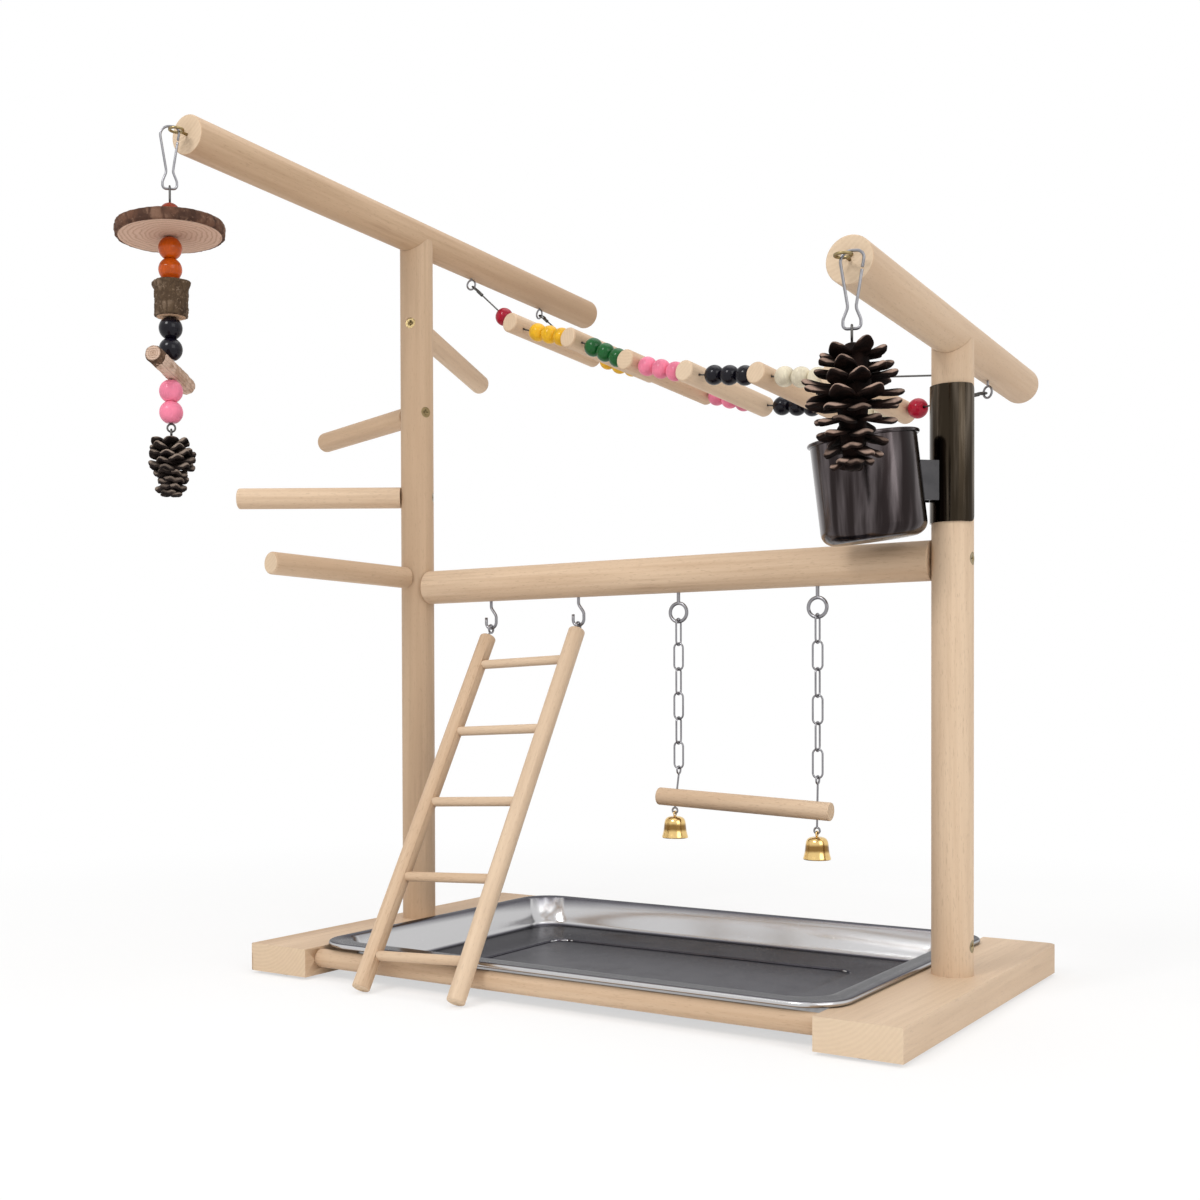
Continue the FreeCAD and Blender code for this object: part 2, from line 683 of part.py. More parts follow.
# ------------------------------------------------------------------ ladder
def ladder():
    """Two rails and round rungs that hang from the crossbar and stand on the table."""
    foot_y = -(TRAY_FRONT + LADDER_FOOT_AHEAD)
    pitch = math.atan2(LADDER_HINGE_Z, -foot_y)
    slope = Vec(0, -math.cos(pitch), -math.sin(pitch))
    skew = math.radians(LADDER_SKEW)
    down = slope * math.cos(skew) + X_AXIS * math.sin(skew)
    across = X_AXIS * math.cos(skew) - slope * math.sin(skew)
    rail_r = LADDER_RAIL_D / 2
    end_z = rail_r * math.sqrt(1 - down.z * down.z) + FLOOR_GAP
    length = (LADDER_HINGE_Z - end_z) / -down.z
    step = LADDER_W * math.sin(skew)
    wire_r = LADDER_EYE_WIRE_D / 2
    ring_r = LADDER_EYE_BORE / 2 + wire_r
    lag = LADDER_EYE_BORE / 2 - LADDER_HOOK_WIRE_D / 2 - RUN_GAP
    rails = []
    eyes = []
    for index in range(2):
        hinge = Vec(LADDER_X + index * LADDER_W, 0, LADDER_HINGE_Z)
        top = LADDER_STEM + step / 2 - index * step
        ring_centre = hinge + down * lag
        ring = Part.makeTorus(ring_r, wire_r, ring_centre, down.cross(slope.cross(X_AXIS)))
        stem_end = hinge + down * (top + EYE_BITE)
        eyes.append(ring.fuse(rod(ring_centre + down * ring_r, stem_end, wire_r)))
        solid = rod(hinge + down * top, hinge + down * length, rail_r)
        solid = soften(solid, LADDER_EDGE, is_circle)
        hole = rod(hinge, stem_end + down * SEAT_GAP, wire_r + SEAT_GAP)
        rails.append(solid.cut(hole))
    rungs = []
    left_top = Vec(LADDER_X, 0, LADDER_HINGE_Z) + down * (LADDER_STEM + step / 2)
    for index in range(LADDER_RUNGS):
        middle = left_top + down * (LADDER_FIRST_RUNG + index * LADDER_RUNG_PITCH)
        reach = rail_r * RUNG_SOCKET_SHARE
        start = middle - across * reach
        end = middle + across * (LADDER_W + reach)
        rungs.append(rod(start, end, LADDER_RUNG_D / 2))
        socket = rod(start - across * SEAT_GAP, end + across * SEAT_GAP, LADDER_RUNG_D / 2 + SEAT_GAP)
        rails = [solid.cut(socket) for solid in rails]
    return {
        "ladder_left_rail": rails[0],
        "ladder_right_rail": rails[1],
        "ladder_rungs": Part.makeCompound(rungs),
        "ladder_eyes": Part.makeCompound(eyes),
    }


# ------------------------------------------------------------------ swing
def chain(x, link_l):
    """Chain of long links, each turned a quarter from the last; returns it and its inner foot."""
    eye_low = CROSSBAR_UNDER - SWING_EYE_DROP - (SWING_EYE_D - SWING_EYE_WIRE_D) / 2
    top = eye_low + SWING_EYE_WIRE_D / 2 + RUN_GAP + LINK_WIRE_D
    links = []
    for index in range(LINK_COUNT):
        middle = Vec(x, 0, top - link_l / 2)
        across = Y_AXIS if index % 2 == 0 else X_AXIS
        links.append(long_ring(middle, across, Z_AXIS, LINK_W, link_l, LINK_WIRE_D))
        foot = top - link_l + LINK_WIRE_D
        top = foot + SEAT_GAP + LINK_WIRE_D
    return Part.makeCompound(links), foot


def swing_perch_z(x):
    """Height of the swing perch's drooping axis."""
    left_end = SWING_X - SWING_PERCH_OVER
    return SWING_PERCH_Z - (x - left_end) * math.tan(math.radians(SWING_PERCH_DROOP))


def swing_wire(x, chain_foot, lean, loop_drop):
    """Wire from the chain through the perch, with a loop at each end."""
    wire_r = SWING_WIRE_D / 2
    top = Vec(x, 0, chain_foot + SEAT_GAP + wire_r - SWING_LOOP_R)
    foot_x = x - lean
    low = swing_perch_z(foot_x) - loop_drop
    top_loop = Part.makeTorus(SWING_LOOP_R, wire_r, top, X_AXIS)
    start = top - Z_AXIS * SWING_LOOP_R
    inside = Vec(foot_x, 0, low + 2 * BELL_LOOP_R)
    low_loop = Part.makeTorus(BELL_LOOP_R, wire_r, Vec(foot_x, 0, low + BELL_LOOP_R), Y_AXIS)
    stem = rod(start, inside, wire_r)
    return top_loop.fuse([stem, low_loop]), rod(start, inside, wire_r + SEAT_GAP), Vec(foot_x, 0, low)


def bell(hang):
    """Open bell with a wire ring on its crown; hang is the loop's lowest centre-line point."""
    wire_r = BELL_WIRE_D / 2
    ring_top = hang.z + SWING_WIRE_D / 2 + RUN_GAP + wire_r
    ring_centre = Vec(hang.x, 0, ring_top - BELL_RING_R)
    crown = ring_centre.z - BELL_RING_R
    top_r = BELL_TOP_D / 2
    mouth_r = BELL_MOUTH_D / 2
    outer = [Vec(0, 0, crown), Vec(top_r - BELL_SHOULDER, 0, crown),
             Vec(top_r, 0, crown - BELL_SHOULDER), Vec(mouth_r, 0, crown - BELL_H)]
    inner = [Vec(mouth_r - BELL_WALL, 0, crown - BELL_H), Vec(top_r - BELL_WALL, 0, crown - BELL_SHOULDER),
             Vec(top_r - BELL_SHOULDER, 0, crown - BELL_WALL), Vec(0, 0, crown - BELL_WALL)]
    shell = revolve(lines(outer + inner), Vec(0, 0, 0), Z_AXIS)
    shell.translate(Vec(hang.x, 0, 0))
    ring = Part.makeTorus(BELL_RING_R, wire_r, ring_centre, X_AXIS)
    solid = shell.fuse(ring)
    inside = Vec(hang.x, 0, crown - BELL_WALL)
    ball = inside - Z_AXIS * CLAPPER_DROP
    clapper = Part.makeSphere(CLAPPER_D / 2, ball)
    clapper = clapper.fuse(rod(ball, inside - Z_AXIS * RUN_GAP, wire_r))
    return solid, clapper


def swing():
    """Chains, perch, wires and the two bells."""
    pieces = {}
    wires = []
    holes = []
    sides = (
        ("left", SWING_X, LEFT_LINK_L, LEFT_WIRE_LEAN, LEFT_BELL_LOOP_DROP),
        ("right", SWING_X + SWING_W, RIGHT_LINK_L, RIGHT_WIRE_LEAN, RIGHT_BELL_LOOP_DROP),
    )
    for side, x, link_l, lean, loop_drop in sides:
        links, foot = chain(x, link_l)
        wire, hole, hang = swing_wire(x, foot, lean, loop_drop)
        pieces["swing_%s_chain" % side] = links
        wires.append(wire)
        holes.append(hole)
        pieces["%s_bell" % side], pieces["%s_clapper" % side] = bell(hang)
    left_x = SWING_X - SWING_PERCH_OVER
    right_x = left_x + SWING_PERCH_L * math.cos(math.radians(SWING_PERCH_DROOP))
    start = Vec(left_x, 0, swing_perch_z(left_x))
    end = Vec(right_x, 0, swing_perch_z(right_x))
    solid = soften(rod(start, end, SWING_PERCH_D / 2), PERCH_EDGE, is_circle)
    pieces["swing_perch"] = solid.cut(Part.makeCompound(holes))
    pieces["swing_wires"] = Part.makeCompound(wires)
    return pieces


# ------------------------------------------------------------------ tray
def round_rect(inset, z, corner):
    """Rounded outline of the tray, in from its rim, at a height."""
    half_w = POST_X - BOARD_W / 2 + TRAY_LAP - inset
    x0, x1 = TRAY_SHIFT - half_w, TRAY_SHIFT + half_w
    y0, y1 = -TRAY_FRONT + inset, TRAY_BACK - inset
    return rounded_outline(x0, y0, x1, y1, z, corner)


def rounded_outline(x0, y0, x1, y1, z, corner):
    """Closed wire of four lines and four quarter arcs."""
    k = corner * (1 - math.sqrt(0.5))
    edges = []
    lows = ((x0 + corner, y0), (x1, y0 + corner), (x1 - corner, y1), (x0, y1 - corner))
    highs = ((x1 - corner, y0), (x1, y1 - corner), (x0 + corner, y1), (x0, y0 + corner))
    middles = ((x1 - k, y0 + k), (x1 - k, y1 - k), (x0 + k, y1 - k), (x0 + k, y0 + k))
    for index in range(4):
        low, high, middle = lows[index], highs[index], middles[index]
        after = lows[(index + 1) % 4]
        edges.append(Part.LineSegment(Vec(low[0], low[1], z), Vec(high[0], high[1], z)).toShape())
        edges.append(Part.Arc(Vec(high[0], high[1], z), Vec(middle[0], middle[1], z),
                              Vec(after[0], after[1], z)).toShape())
    return Part.Wire(edges)


def tray_bowl(sheet):
    """Solid under the tray's wall and floor; sheet lifts it for the inner face."""
    top_z = tray_flange_z() + sheet
    low_z = TRAY_FLOOR_Z + sheet
    bend = TRAY_BEND - sheet
    bend_z = low_z + bend
    sections = [round_rect(TRAY_FLANGE + sheet, top_z, TRAY_CORNER - TRAY_FLANGE / 2)]
    steps = 4
    for index in range(steps + 1):
        angle = math.radians(90.0 * index / steps)
        inset = TRAY_FLANGE + TRAY_WALL_SLOPE + sheet + bend * (1 - math.cos(angle))
        z = bend_z - bend * math.sin(angle)
        sections.append(round_rect(inset, z, TRAY_CORNER - TRAY_FLANGE / 2))
    return Part.makeLoft(sections, True, True)


def tray_flange_z():
    """Underside of the flange."""
    return BOARD_TOP + RUN_GAP + TRAY_RIM_D - TRAY_SHEET


def tray():
    """Pressed sheet tray with a rolled rim; it rests on the boards."""
    rim_r = TRAY_RIM_D / 2
    flange_face = Part.Face(round_rect(rim_r, tray_flange_z(), TRAY_CORNER - rim_r))
    flange = flange_face.extrude(Z_AXIS * TRAY_SHEET)
    body = flange.fuse(tray_bowl(0.0))
    panel_x = POST_X - BOARD_W / 2 + TRAY_LAP - PANEL_SIDE
    x0, x1 = TRAY_SHIFT - panel_x, TRAY_SHIFT + panel_x
    y0, y1 = -TRAY_FRONT + PANEL_END, TRAY_BACK - PANEL_END
    low = TRAY_FLOOR_Z - PANEL_STEP
    panel = Part.Face(rounded_outline(x0, y0, x1, y1, low, PANEL_CORNER)).extrude(Z_AXIS * TRAY_SHEET)
    body = body.fuse(panel.fuse(
        Part.Face(rounded_outline(x0, y0, x1, y1, low, PANEL_CORNER)).extrude(Z_AXIS * PANEL_STEP)))
    body = body.cut(tray_bowl(TRAY_SHEET))
    sunk = Part.Face(rounded_outline(x0 + TRAY_SHEET, y0 + TRAY_SHEET, x1 - TRAY_SHEET, y1 - TRAY_SHEET,
                                     low + TRAY_SHEET, PANEL_CORNER - TRAY_SHEET))
    body = body.cut(sunk.extrude(Z_AXIS * (PANEL_STEP + TRAY_SHEET)))
    spine = round_rect(rim_r, BOARD_TOP + RUN_GAP + rim_r, TRAY_CORNER - rim_r)
    start = spine.Edges[0].valueAt(spine.Edges[0].FirstParameter)
    profile = Part.Wire(Part.makeCircle(rim_r, start, X_AXIS))
    rim = spine.makePipeShell([profile], True, False)
    return body.fuse(rim)


# ------------------------------------------------------------------ feeding cup
def cup_set():
    """Cup, its bracket and the spring sleeve that grips the right post."""
    toward = turned(180 + CUP_TURN)
    aside = Z_AXIS.cross(toward)
    rim_centre = Vec(POST_X, 0, CUP_RIM_Z) + toward * CUP_FROM_POST
    outer = Part.makeCylinder(CUP_D / 2, CUP_H)
    outer = soften(outer, CUP_FOOT_R, lambda edge: is_circle(edge) and edge.Curve.Center.z < 1)
    inner = Part.makeCylinder(CUP_D / 2 - CUP_WALL, CUP_H, Vec(0, 0, CUP_WALL))
    inner = soften(inner, CUP_FOOT_R - CUP_WALL,
                   lambda edge: is_circle(edge) and edge.Curve.Center.z < 1 + CUP_WALL)
    rim = Part.makeTorus(CUP_D / 2 + CUP_RIM_D / 2 - CUP_WALL, CUP_RIM_D / 2, Vec(0, 0, CUP_H), Z_AXIS)
    mouth = Part.makeCylinder(CUP_D / 2 - CUP_WALL, CUP_H, Vec(0, 0, CUP_FOOT_R))
    cup = outer.cut(inner).fuse(rim).cut(mouth)
    cup.translate(Vec(0, 0, -CUP_H))
    tilt = FreeCAD.Placement(rim_centre, FreeCAD.Rotation(aside, CUP_TILT))
    cup.Placement = tilt.multiply(cup.Placement)

    sleeve_r = POST_R + CLIP_BORE_GAP
    base = Vec(POST_X, 0, CLIP_Z)
    sleeve = Part.makeCylinder(sleeve_r + CLIP_WALL, CLIP_H, base)
    sleeve = sleeve.cut(Part.makeCylinder(sleeve_r, CLIP_H, base))
    wedge = opening_wedge(base, toward, sleeve_r + 4 * CLIP_WALL)
    sleeve = sleeve.cut(wedge)

    def gate_corner(edge):
        box = edge.BoundBox
        return box.ZLength < 0.01 and abs(edge.Length - CLIP_WALL) < 0.01

    sleeve = soften(sleeve, CLIP_CORNER, gate_corner)

    bracket_top = CUP_RIM_Z - BRACKET_TOP_DROP
    start = Vec(POST_X, 0, bracket_top - BRACKET_H) + toward * POST_R
    span = CUP_FROM_POST - POST_R
    block = Part.makeBox(span, BRACKET_W, BRACKET_H)
    block.translate(Vec(0, -BRACKET_W / 2, 0))
    hollow = Part.makeBox(span, BRACKET_W - 2 * BRACKET_SHEET, BRACKET_H - BRACKET_SHEET)
    hollow.translate(Vec(0, -BRACKET_W / 2 + BRACKET_SHEET, -BRACKET_SHEET))
    block = block.cut(hollow)
    block.Placement = FreeCAD.Placement(start, FreeCAD.Rotation(X_AXIS, toward)).multiply(block.Placement)
    block = block.cut(Part.makeCylinder(sleeve_r + CLIP_WALL + SEAT_GAP, CLIP_H, base))
    room = Part.makeCylinder(CUP_D / 2 + SEAT_GAP, 2 * CUP_H, Vec(0, 0, -1.5 * CUP_H))
    room.Placement = tilt.multiply(room.Placement)
    block = block.cut(room)
    return {"feed_cup": cup, "cup_clip": sleeve, "cup_bracket": nearest_solid(block, start)}


def nearest_solid(shape, point):
    """The piece of a cut shape that lies nearest a point."""
    vertex = Part.Vertex(point)
    return min(shape.Solids, key=lambda solid: solid.distToShape(vertex)[0])


def opening_wedge(base, toward, radius):
    """Wedge that opens the sleeve on the side away from the cup."""
    half = math.radians(CLIP_OPENING / 2)
    side = Z_AXIS.cross(toward)
    far = 4 * radius
    away = toward * -1
    left = base + (away * math.cos(half) + side * math.sin(half)) * far
    right = base + (away * math.cos(half) - side * math.sin(half)) * far
    face = Part.Face(Part.Wire(lines([base, left, right])))
    return face.extrude(Z_AXIS * CLIP_H)


# ------------------------------------------------------------------ hanging toys
def snap_hook(top, turn):
    """Wire snap hook in an upright plane; top is the centre line's highest point."""
    across = turned(turn)
    wire_r = SNAP_WIRE_D / 2
    bow = SNAP_BOW_W / 2 - wire_r
    waist = SNAP_WAIST_W / 2 - wire_r
    bulb = SNAP_BULB_W / 2 - wire_r
    low = SNAP_L - SNAP_WIRE_D

    def at(x, drop):
        return top + across * x - Z_AXIS * drop

    corner = bow * SNAP_CORNER_SHARE
    right_top = at(corner, 0)
    right_waist = at(waist, SNAP_WAIST_DROP)
    leg = right_waist - right_top
    points = [
        right_top + leg * SNAP_GATE[0],
        right_top,
        at(-corner, 0),
        at(-waist, SNAP_WAIST_DROP),
        at(-bulb, SNAP_BULB_DROP),
        at(-bulb, low),
        at(bulb, low),
        at(bulb, SNAP_BULB_DROP),
        right_waist,
        right_top + leg * SNAP_GATE[1],
    ]
    return bent_wire(points, SNAP_WIRE_D, bow)


def hook_top(side):
    """Hook's highest centre-line point, over the perch eye's wire."""
    centre, _ = front_eye(side)
    ring_r = (EYE_D - EYE_WIRE_D) / 2
    if side == "left":
        on_ring = centre - turned(LEFT_HOOK_TURN) * ring_r
    else:
        on_ring = centre + turned(RIGHT_HOOK_TURN) * ring_r
    return on_ring + Z_AXIS * (EYE_WIRE_D / 2 + RUN_GAP + SNAP_WIRE_D / 2)


def hook_floor(side):
    """Inner lowest point of the hook, where the next loop rests."""
    return hook_top(side) - Z_AXIS * (SNAP_L - 1.5 * SNAP_WIRE_D)


def left_toy():
    """Hook, wired beads, bark disc, bark log, stick and the small cone."""
    rest = hook_floor("left")
    across = turned(LEFT_HOOK_TURN)
    facing = Z_AXIS.cross(across)
    wire_r = TOY_WIRE_D / 2
    bore_r = wire_r + BEAD_BORE_GAP
    loop_top = rest.z + RUN_GAP + TOY_WIRE_D

    def on_string(z):
        return Vec(rest.x, rest.y, z)

    loop_l = TOY_LOOP_L
    loop = long_ring(on_string(loop_top - loop_l / 2), facing, Z_AXIS, TOY_LOOP_W, loop_l, TOY_WIRE_D)
    z = loop_top - loop_l - SEAT_GAP
    beads = {}

    def add_beads(name, count, diameter, height):
        nonlocal z
        solids = []
        for _ in range(count):
            solids.append(bead(on_string(z - height / 2), Z_AXIS, diameter, height, bore_r))
            z -= height + SEAT_GAP
        z += SEAT_GAP
        beads[name] = Part.makeCompound(solids)

    add_beads("top_bead", 1, TOP_BEAD_D, TOP_BEAD_H)
    z -= RUN_GAP + 0.5 * TOP_BEAD_D * math.tan(math.radians(DISC_TILT))
    disc_centre = on_string(z - DISC_T / 2)
    disc = Part.makeCylinder(DISC_D / 2, DISC_T, Vec(0, 0, -DISC_T / 2))
    disc = soften(disc, DISC_T * DISC_EDGE_SHARE, is_circle)
    tilt = FreeCAD.Rotation(Y_AXIS, -DISC_TILT)
    disc.Placement = FreeCAD.Placement(disc_centre, tilt)
    disc = disc.cut(rod(disc_centre + Z_AXIS * DISC_T, disc_centre - Z_AXIS * DISC_T, bore_r))
    z -= DISC_T + RUN_GAP + 0.5 * TOP_BEAD_D * math.tan(math.radians(DISC_TILT))
    add_beads("orange_beads", 2, BEAD_D, BEAD_H)
    z -= RUN_GAP
    log = Part.makeCylinder(LOG_D / 2, LOG_L, on_string(z - LOG_L))
    log = soften(log, LOG_EDGE, is_circle)
    for turn, share in LOG_KNOTS:
        knot = on_string(z - LOG_L * (1 - share)) + turned(turn) * (LOG_D / 2 - KNOT_D / 4)
        log = log.fuse(Part.makeSphere(KNOT_D / 2, knot))
    level = Part.makeBox(2 * LOG_D, 2 * LOG_D, LOG_L, on_string(z - LOG_L) - Vec(LOG_D, LOG_D, 0))
    log = log.common(level).cut(rod(on_string(z + 1), on_string(z - LOG_L - 1), bore_r))
    z -= LOG_L + RUN_GAP
    add_beads("black_beads", 2, BEAD_D, BEAD_H)
    stick_rise = STICK_D / 2 / math.cos(math.radians(STICK_TILT))
    z -= RUN_GAP + stick_rise + BEAD_D / 8 * math.tan(math.radians(STICK_TILT))
    stick_way = turned(-90 + STICK_TURN) * math.cos(math.radians(STICK_TILT))
    stick_way += Z_AXIS * math.sin(math.radians(STICK_TILT))
    middle = on_string(z)
    stick = rod(middle - stick_way * (STICK_L / 2), middle + stick_way * (STICK_L / 2), STICK_D / 2)
    stick = soften(stick, STICK_EDGE, is_circle)
    stick = stick.cut(rod(on_string(z + STICK_D), on_string(z - STICK_D), bore_r))
    z -= RUN_GAP + stick_rise + BEAD_D / 8 * math.tan(math.radians(STICK_TILT))
    add_beads("pink_beads", 2, BEAD_D, BEAD_H)
    eye_z = z - SEAT_GAP - wire_r - TOY_EYE_R
    low_eye = Part.makeTorus(TOY_EYE_R, wire_r, on_string(eye_z), facing)
    run = rod(on_string(loop_top - loop_l + wire_r), on_string(eye_z + TOY_EYE_R), wire_r)
    wire = run.fuse([loop, low_eye])

    cone_rest = eye_z - TOY_EYE_R + wire_r
    cone_eye_top = cone_rest + RUN_GAP + TOY_WIRE_D
    eye_centre = on_string(cone_eye_top - wire_r - TOY_EYE_R)
    cone_top = eye_centre.z - TOY_EYE_R - wire_r
    cone_eye = eye(eye_centre, across, Z_AXIS * -1, 2 * TOY_EYE_R + TOY_WIRE_D, TOY_WIRE_D,
                   TOY_EYE_R + wire_r + CONE_EYE_BITE)
    cone = pine_cone(on_string(cone_top), SMALL_CONE_L, SMALL_CONE_D, SMALL_CONE_ROWS,
                     SMALL_CONE_TURNS, SMALL_SCALE_W, SMALL_SCALE_T)
    hole = shank_hole(eye_centre, Z_AXIS * -1, TOY_WIRE_D, TOY_EYE_R + wire_r + CONE_EYE_BITE)
    pieces = {
        "left_snap_hook": snap_hook(hook_top("left"), LEFT_HOOK_TURN),
        "toy_wire": wire,
        "bark_disc": disc,
        "bark_log": log,
        "toy_stick": stick,
        "small_cone_eye": cone_eye,
        "small_pinecone": cone.cut(hole),
    }
    pieces.update(beads)
    return pieces


def cone_profile(share):
    """Reach of the scales down a cone, as a share of the widest, from its top to its tip."""
    if share < CONE_WIDEST:
        rise = math.sin(math.pi / 2 * share / CONE_WIDEST)
        return CONE_TOP_SHARE + (1 - CONE_TOP_SHARE) * rise
    return 1.0 - CONE_TIP_LOSS * ((share - CONE_WIDEST) / (1 - CONE_WIDEST)) ** 1.5


def scale_blade(length, width, thickness):
    """Pointed tongue along X, thicker at its tip."""
    half = width / 2
    root = half * SCALE_ROOT_SHARE
    shoulder = length * SCALE_SHOULDER
    flat = [Vec(0, -root, 0), Vec(shoulder, -half, 0), Vec(length, 0, 0),
            Vec(shoulder, half, 0), Vec(0, root, 0)]
    face = Part.Face(Part.Wire(lines(flat)))
    solid = face.extrude(Z_AXIS * thickness)
    solid.translate(Z_AXIS * (-thickness / 2))
    return solid


def pine_cone(top, length, width, rows, in_row, scale_w, scale_t):
    """Open cone hung by its base: a tapering core with rings of woody scales."""
    core_r = width * CONE_CORE_SHARE
    outline = lines([top, top + X_AXIS * core_r * 0.8, top + X_AXIS * core_r - Z_AXIS * length * 0.3,
                     top + X_AXIS * core_r * 0.45 - Z_AXIS * length, top - Z_AXIS * length])
    core = revolve(outline, top, Z_AXIS)
    blades = []
    for row in range(rows):
        share = (row + 0.5) / rows
        reach = width / 2 * cone_profile(share)
        lift = CONE_LIFT - CONE_LIFT_LOSS * share
        for index in range(in_row):
            blade_l = reach / math.cos(math.radians(lift))
            blade_w = scale_w * (1 - SCALE_SHRINK + SCALE_SHRINK * cone_profile(share))
            blade = scale_blade(blade_l, blade_w, scale_t)
            turn = 360.0 * (index + 0.5 * (row % 2)) / in_row
            spin = FreeCAD.Rotation(Z_AXIS, turn).multiply(FreeCAD.Rotation(Y_AXIS, -lift))
            drop = length * (0.1 + 0.8 * share) + reach * 0.2 * (lift > 0)
            blade.Placement = FreeCAD.Placement(top - Z_AXIS * drop, spin).multiply(blade.Placement)
            blades.append(blade)
    limit = Part.makeCylinder(width / 2, length, top - Z_AXIS * length)
    return core.fuse(blades).common(limit)


def right_toy():
    """Hook and the large cone with its long ring."""
    rest = hook_floor("right")
    across = turned(RIGHT_HOOK_TURN)
    facing = Z_AXIS.cross(across)
    ring_top = rest.z + RUN_GAP + CONE_EYE_WIRE_D
    centre = Vec(rest.x, rest.y, ring_top - CONE_EYE_L / 2)
    ring = long_ring(centre, facing, Z_AXIS, CONE_EYE_W, CONE_EYE_L, CONE_EYE_WIRE_D)
    low = Vec(rest.x, rest.y, ring_top - CONE_EYE_L)
    shank_top = low + Z_AXIS * (CONE_EYE_WIRE_D / 2)
    ring = ring.fuse(rod(shank_top, low - Z_AXIS * CONE_EYE_BITE, CONE_EYE_WIRE_D / 2))
    cone = pine_cone(low, LARGE_CONE_L, LARGE_CONE_D, LARGE_CONE_ROWS,
                     LARGE_CONE_TURNS, LARGE_SCALE_W, LARGE_SCALE_T)
    hole = shank_hole(low + Z_AXIS, Z_AXIS * -1, CONE_EYE_WIRE_D, 1 + CONE_EYE_BITE)
    return {
        "right_snap_hook": snap_hook(hook_top("right"), RIGHT_HOOK_TURN),
        "large_cone_eye": ring,
        "large_pinecone": cone.cut(hole),
    }


# ------------------------------------------------------------------ bead bridge
def bar_way():
    """Rearward direction of the bridge bars."""
    tilt = math.radians(BAR_TILT)
    return turned(90 - BAR_YAW) * math.cos(tilt) - Z_AXIS * math.sin(tilt)


def bridge_string(rear):
    """Points of one string: an eye, the way in and out of each bar, and the other eye."""
    eyes = bridge_eye_places()
    along = BAR_L - STRING_INSET if rear else STRING_INSET
    crossings = [Vec(*end) + bar_way() * along for end in BAR_FRONT_ENDS]
    knots = [eyes[1 if rear else 0]] + crossings + [eyes[3 if rear else 2]]
    path = [knots[0]]
    for before, middle, after in zip(knots, knots[1:], knots[2:]):
        through = (middle - before).normalize() + (after - middle).normalize()
        through.normalize()
        half = BAR_D / 2 / math.sin(through.getAngle(bar_way())) + STRING_D
        path += [middle - through * half, middle + through * half]
    return path + [knots[-1]]


def string_side(points, last):
    """Level direction square to the string's end run, the normal of its eye."""
    run = points[-2] - points[-1] if last else points[1] - points[0]
    return run.cross(Z_AXIS).normalize()


def string_end(points, last):
    """Loop centre and direction of a string's end run at its eye."""
    eye_centre = points[-1] if last else points[0]
    run = (points[-2] if last else points[1]) - eye_centre
    run.normalize()
    eye_r = (BRIDGE_EYE_D - BRIDGE_EYE_WIRE_D) / 2
    lap = BRIDGE_EYE_WIRE_D / 2 + STRING_D / 2 + SEAT_GAP
    return eye_centre + run * (eye_r + BRIDGE_LOOP_R - lap), run


def string_wire(points):
    """Wire with a crimped loop at each end."""
    loops = []
    ends = []
    for last in (False, True):
        centre, run = string_end(points, last)
        side = string_side(points, last)
        foot = centre + run * BRIDGE_LOOP_R
        loop = Part.makeTorus(BRIDGE_LOOP_R, STRING_D / 2, centre, run.cross(side))
        loops.append(loop.fuse(rod(foot, foot + run * CRIMP_L, CRIMP_D / 2)))
        ends.append(foot + run * (CRIMP_L / 2))
    path = without_straight([ends[0]] + points[1:-1] + [ends[1]])
    return bent_wire(path, STRING_D, STRING_BEND).fuse(loops)


def bridge():
    """Bars on two strings, with beads threaded between them."""
    strings = [bridge_string(False), bridge_string(True)]
    bore_r = STRING_D / 2 + STRING_BORE_GAP
    way = bar_way()
    bars = []
    for index, end in enumerate(BAR_FRONT_ENDS):
        solid = rod(Vec(*end), Vec(*end) + way * BAR_L, BAR_D / 2)
        solid = soften(solid, BAR_EDGE, is_circle)
        for points in strings:
            solid = solid.cut(rod(points[2 * index + 1], points[2 * index + 2], bore_r))
        bars.append(solid)
    beads = {colour: [] for colour, _ in BRIDGE_SPANS}
    bead_bore = STRING_D / 2 + BEAD_BORE_GAP
    for points in strings:
        for span, (colour, count) in enumerate(BRIDGE_SPANS):
            start, end = points[2 * span], points[2 * span + 1]
            run = (end - start).normalize()
            if span == len(BRIDGE_SPANS) - 1:
                axis_point = Vec(*BAR_FRONT_ENDS[span - 1])
                place = start + run * bar_exit(start, run, axis_point, way)
                step = run
            else:
                axis_point = Vec(*BAR_FRONT_ENDS[span])
                place = end - run * bar_exit(end, run * -1, axis_point, way)
                step = run * -1
            for index in range(count):
                along = (BRIDGE_BEAD_H + BRIDGE_BEAD_GAP) * index + BRIDGE_BEAD_H / 2
                beads[colour].append(
                    bead(place + step * along, run, BRIDGE_BEAD_D, BRIDGE_BEAD_H, bead_bore))
    pieces = {"bridge_%s_beads" % colour: Part.makeCompound(solids) for colour, solids in beads.items()}
    pieces["bridge_bars"] = Part.makeCompound(bars)
    pieces["bridge_front_wire"] = string_wire(strings[0])
    pieces["bridge_rear_wire"] = string_wire(strings[1])
    return pieces


def bar_exit(start, run, axis_point, way):
    """Distance along a run from its start to where a bead's flat end clears the bar's side."""
    slant = run.dot(way)
    square = math.sqrt(1 - slant * slant)
    outward = (run - way * slant).normalize()
    end_r = math.sqrt((BRIDGE_BEAD_D / 2) ** 2 - (BRIDGE_BEAD_H / 2) ** 2)
    behind = (start - axis_point).dot(outward)
    return (BAR_D / 2 + SEAT_GAP + end_r * abs(slant) - behind) / square


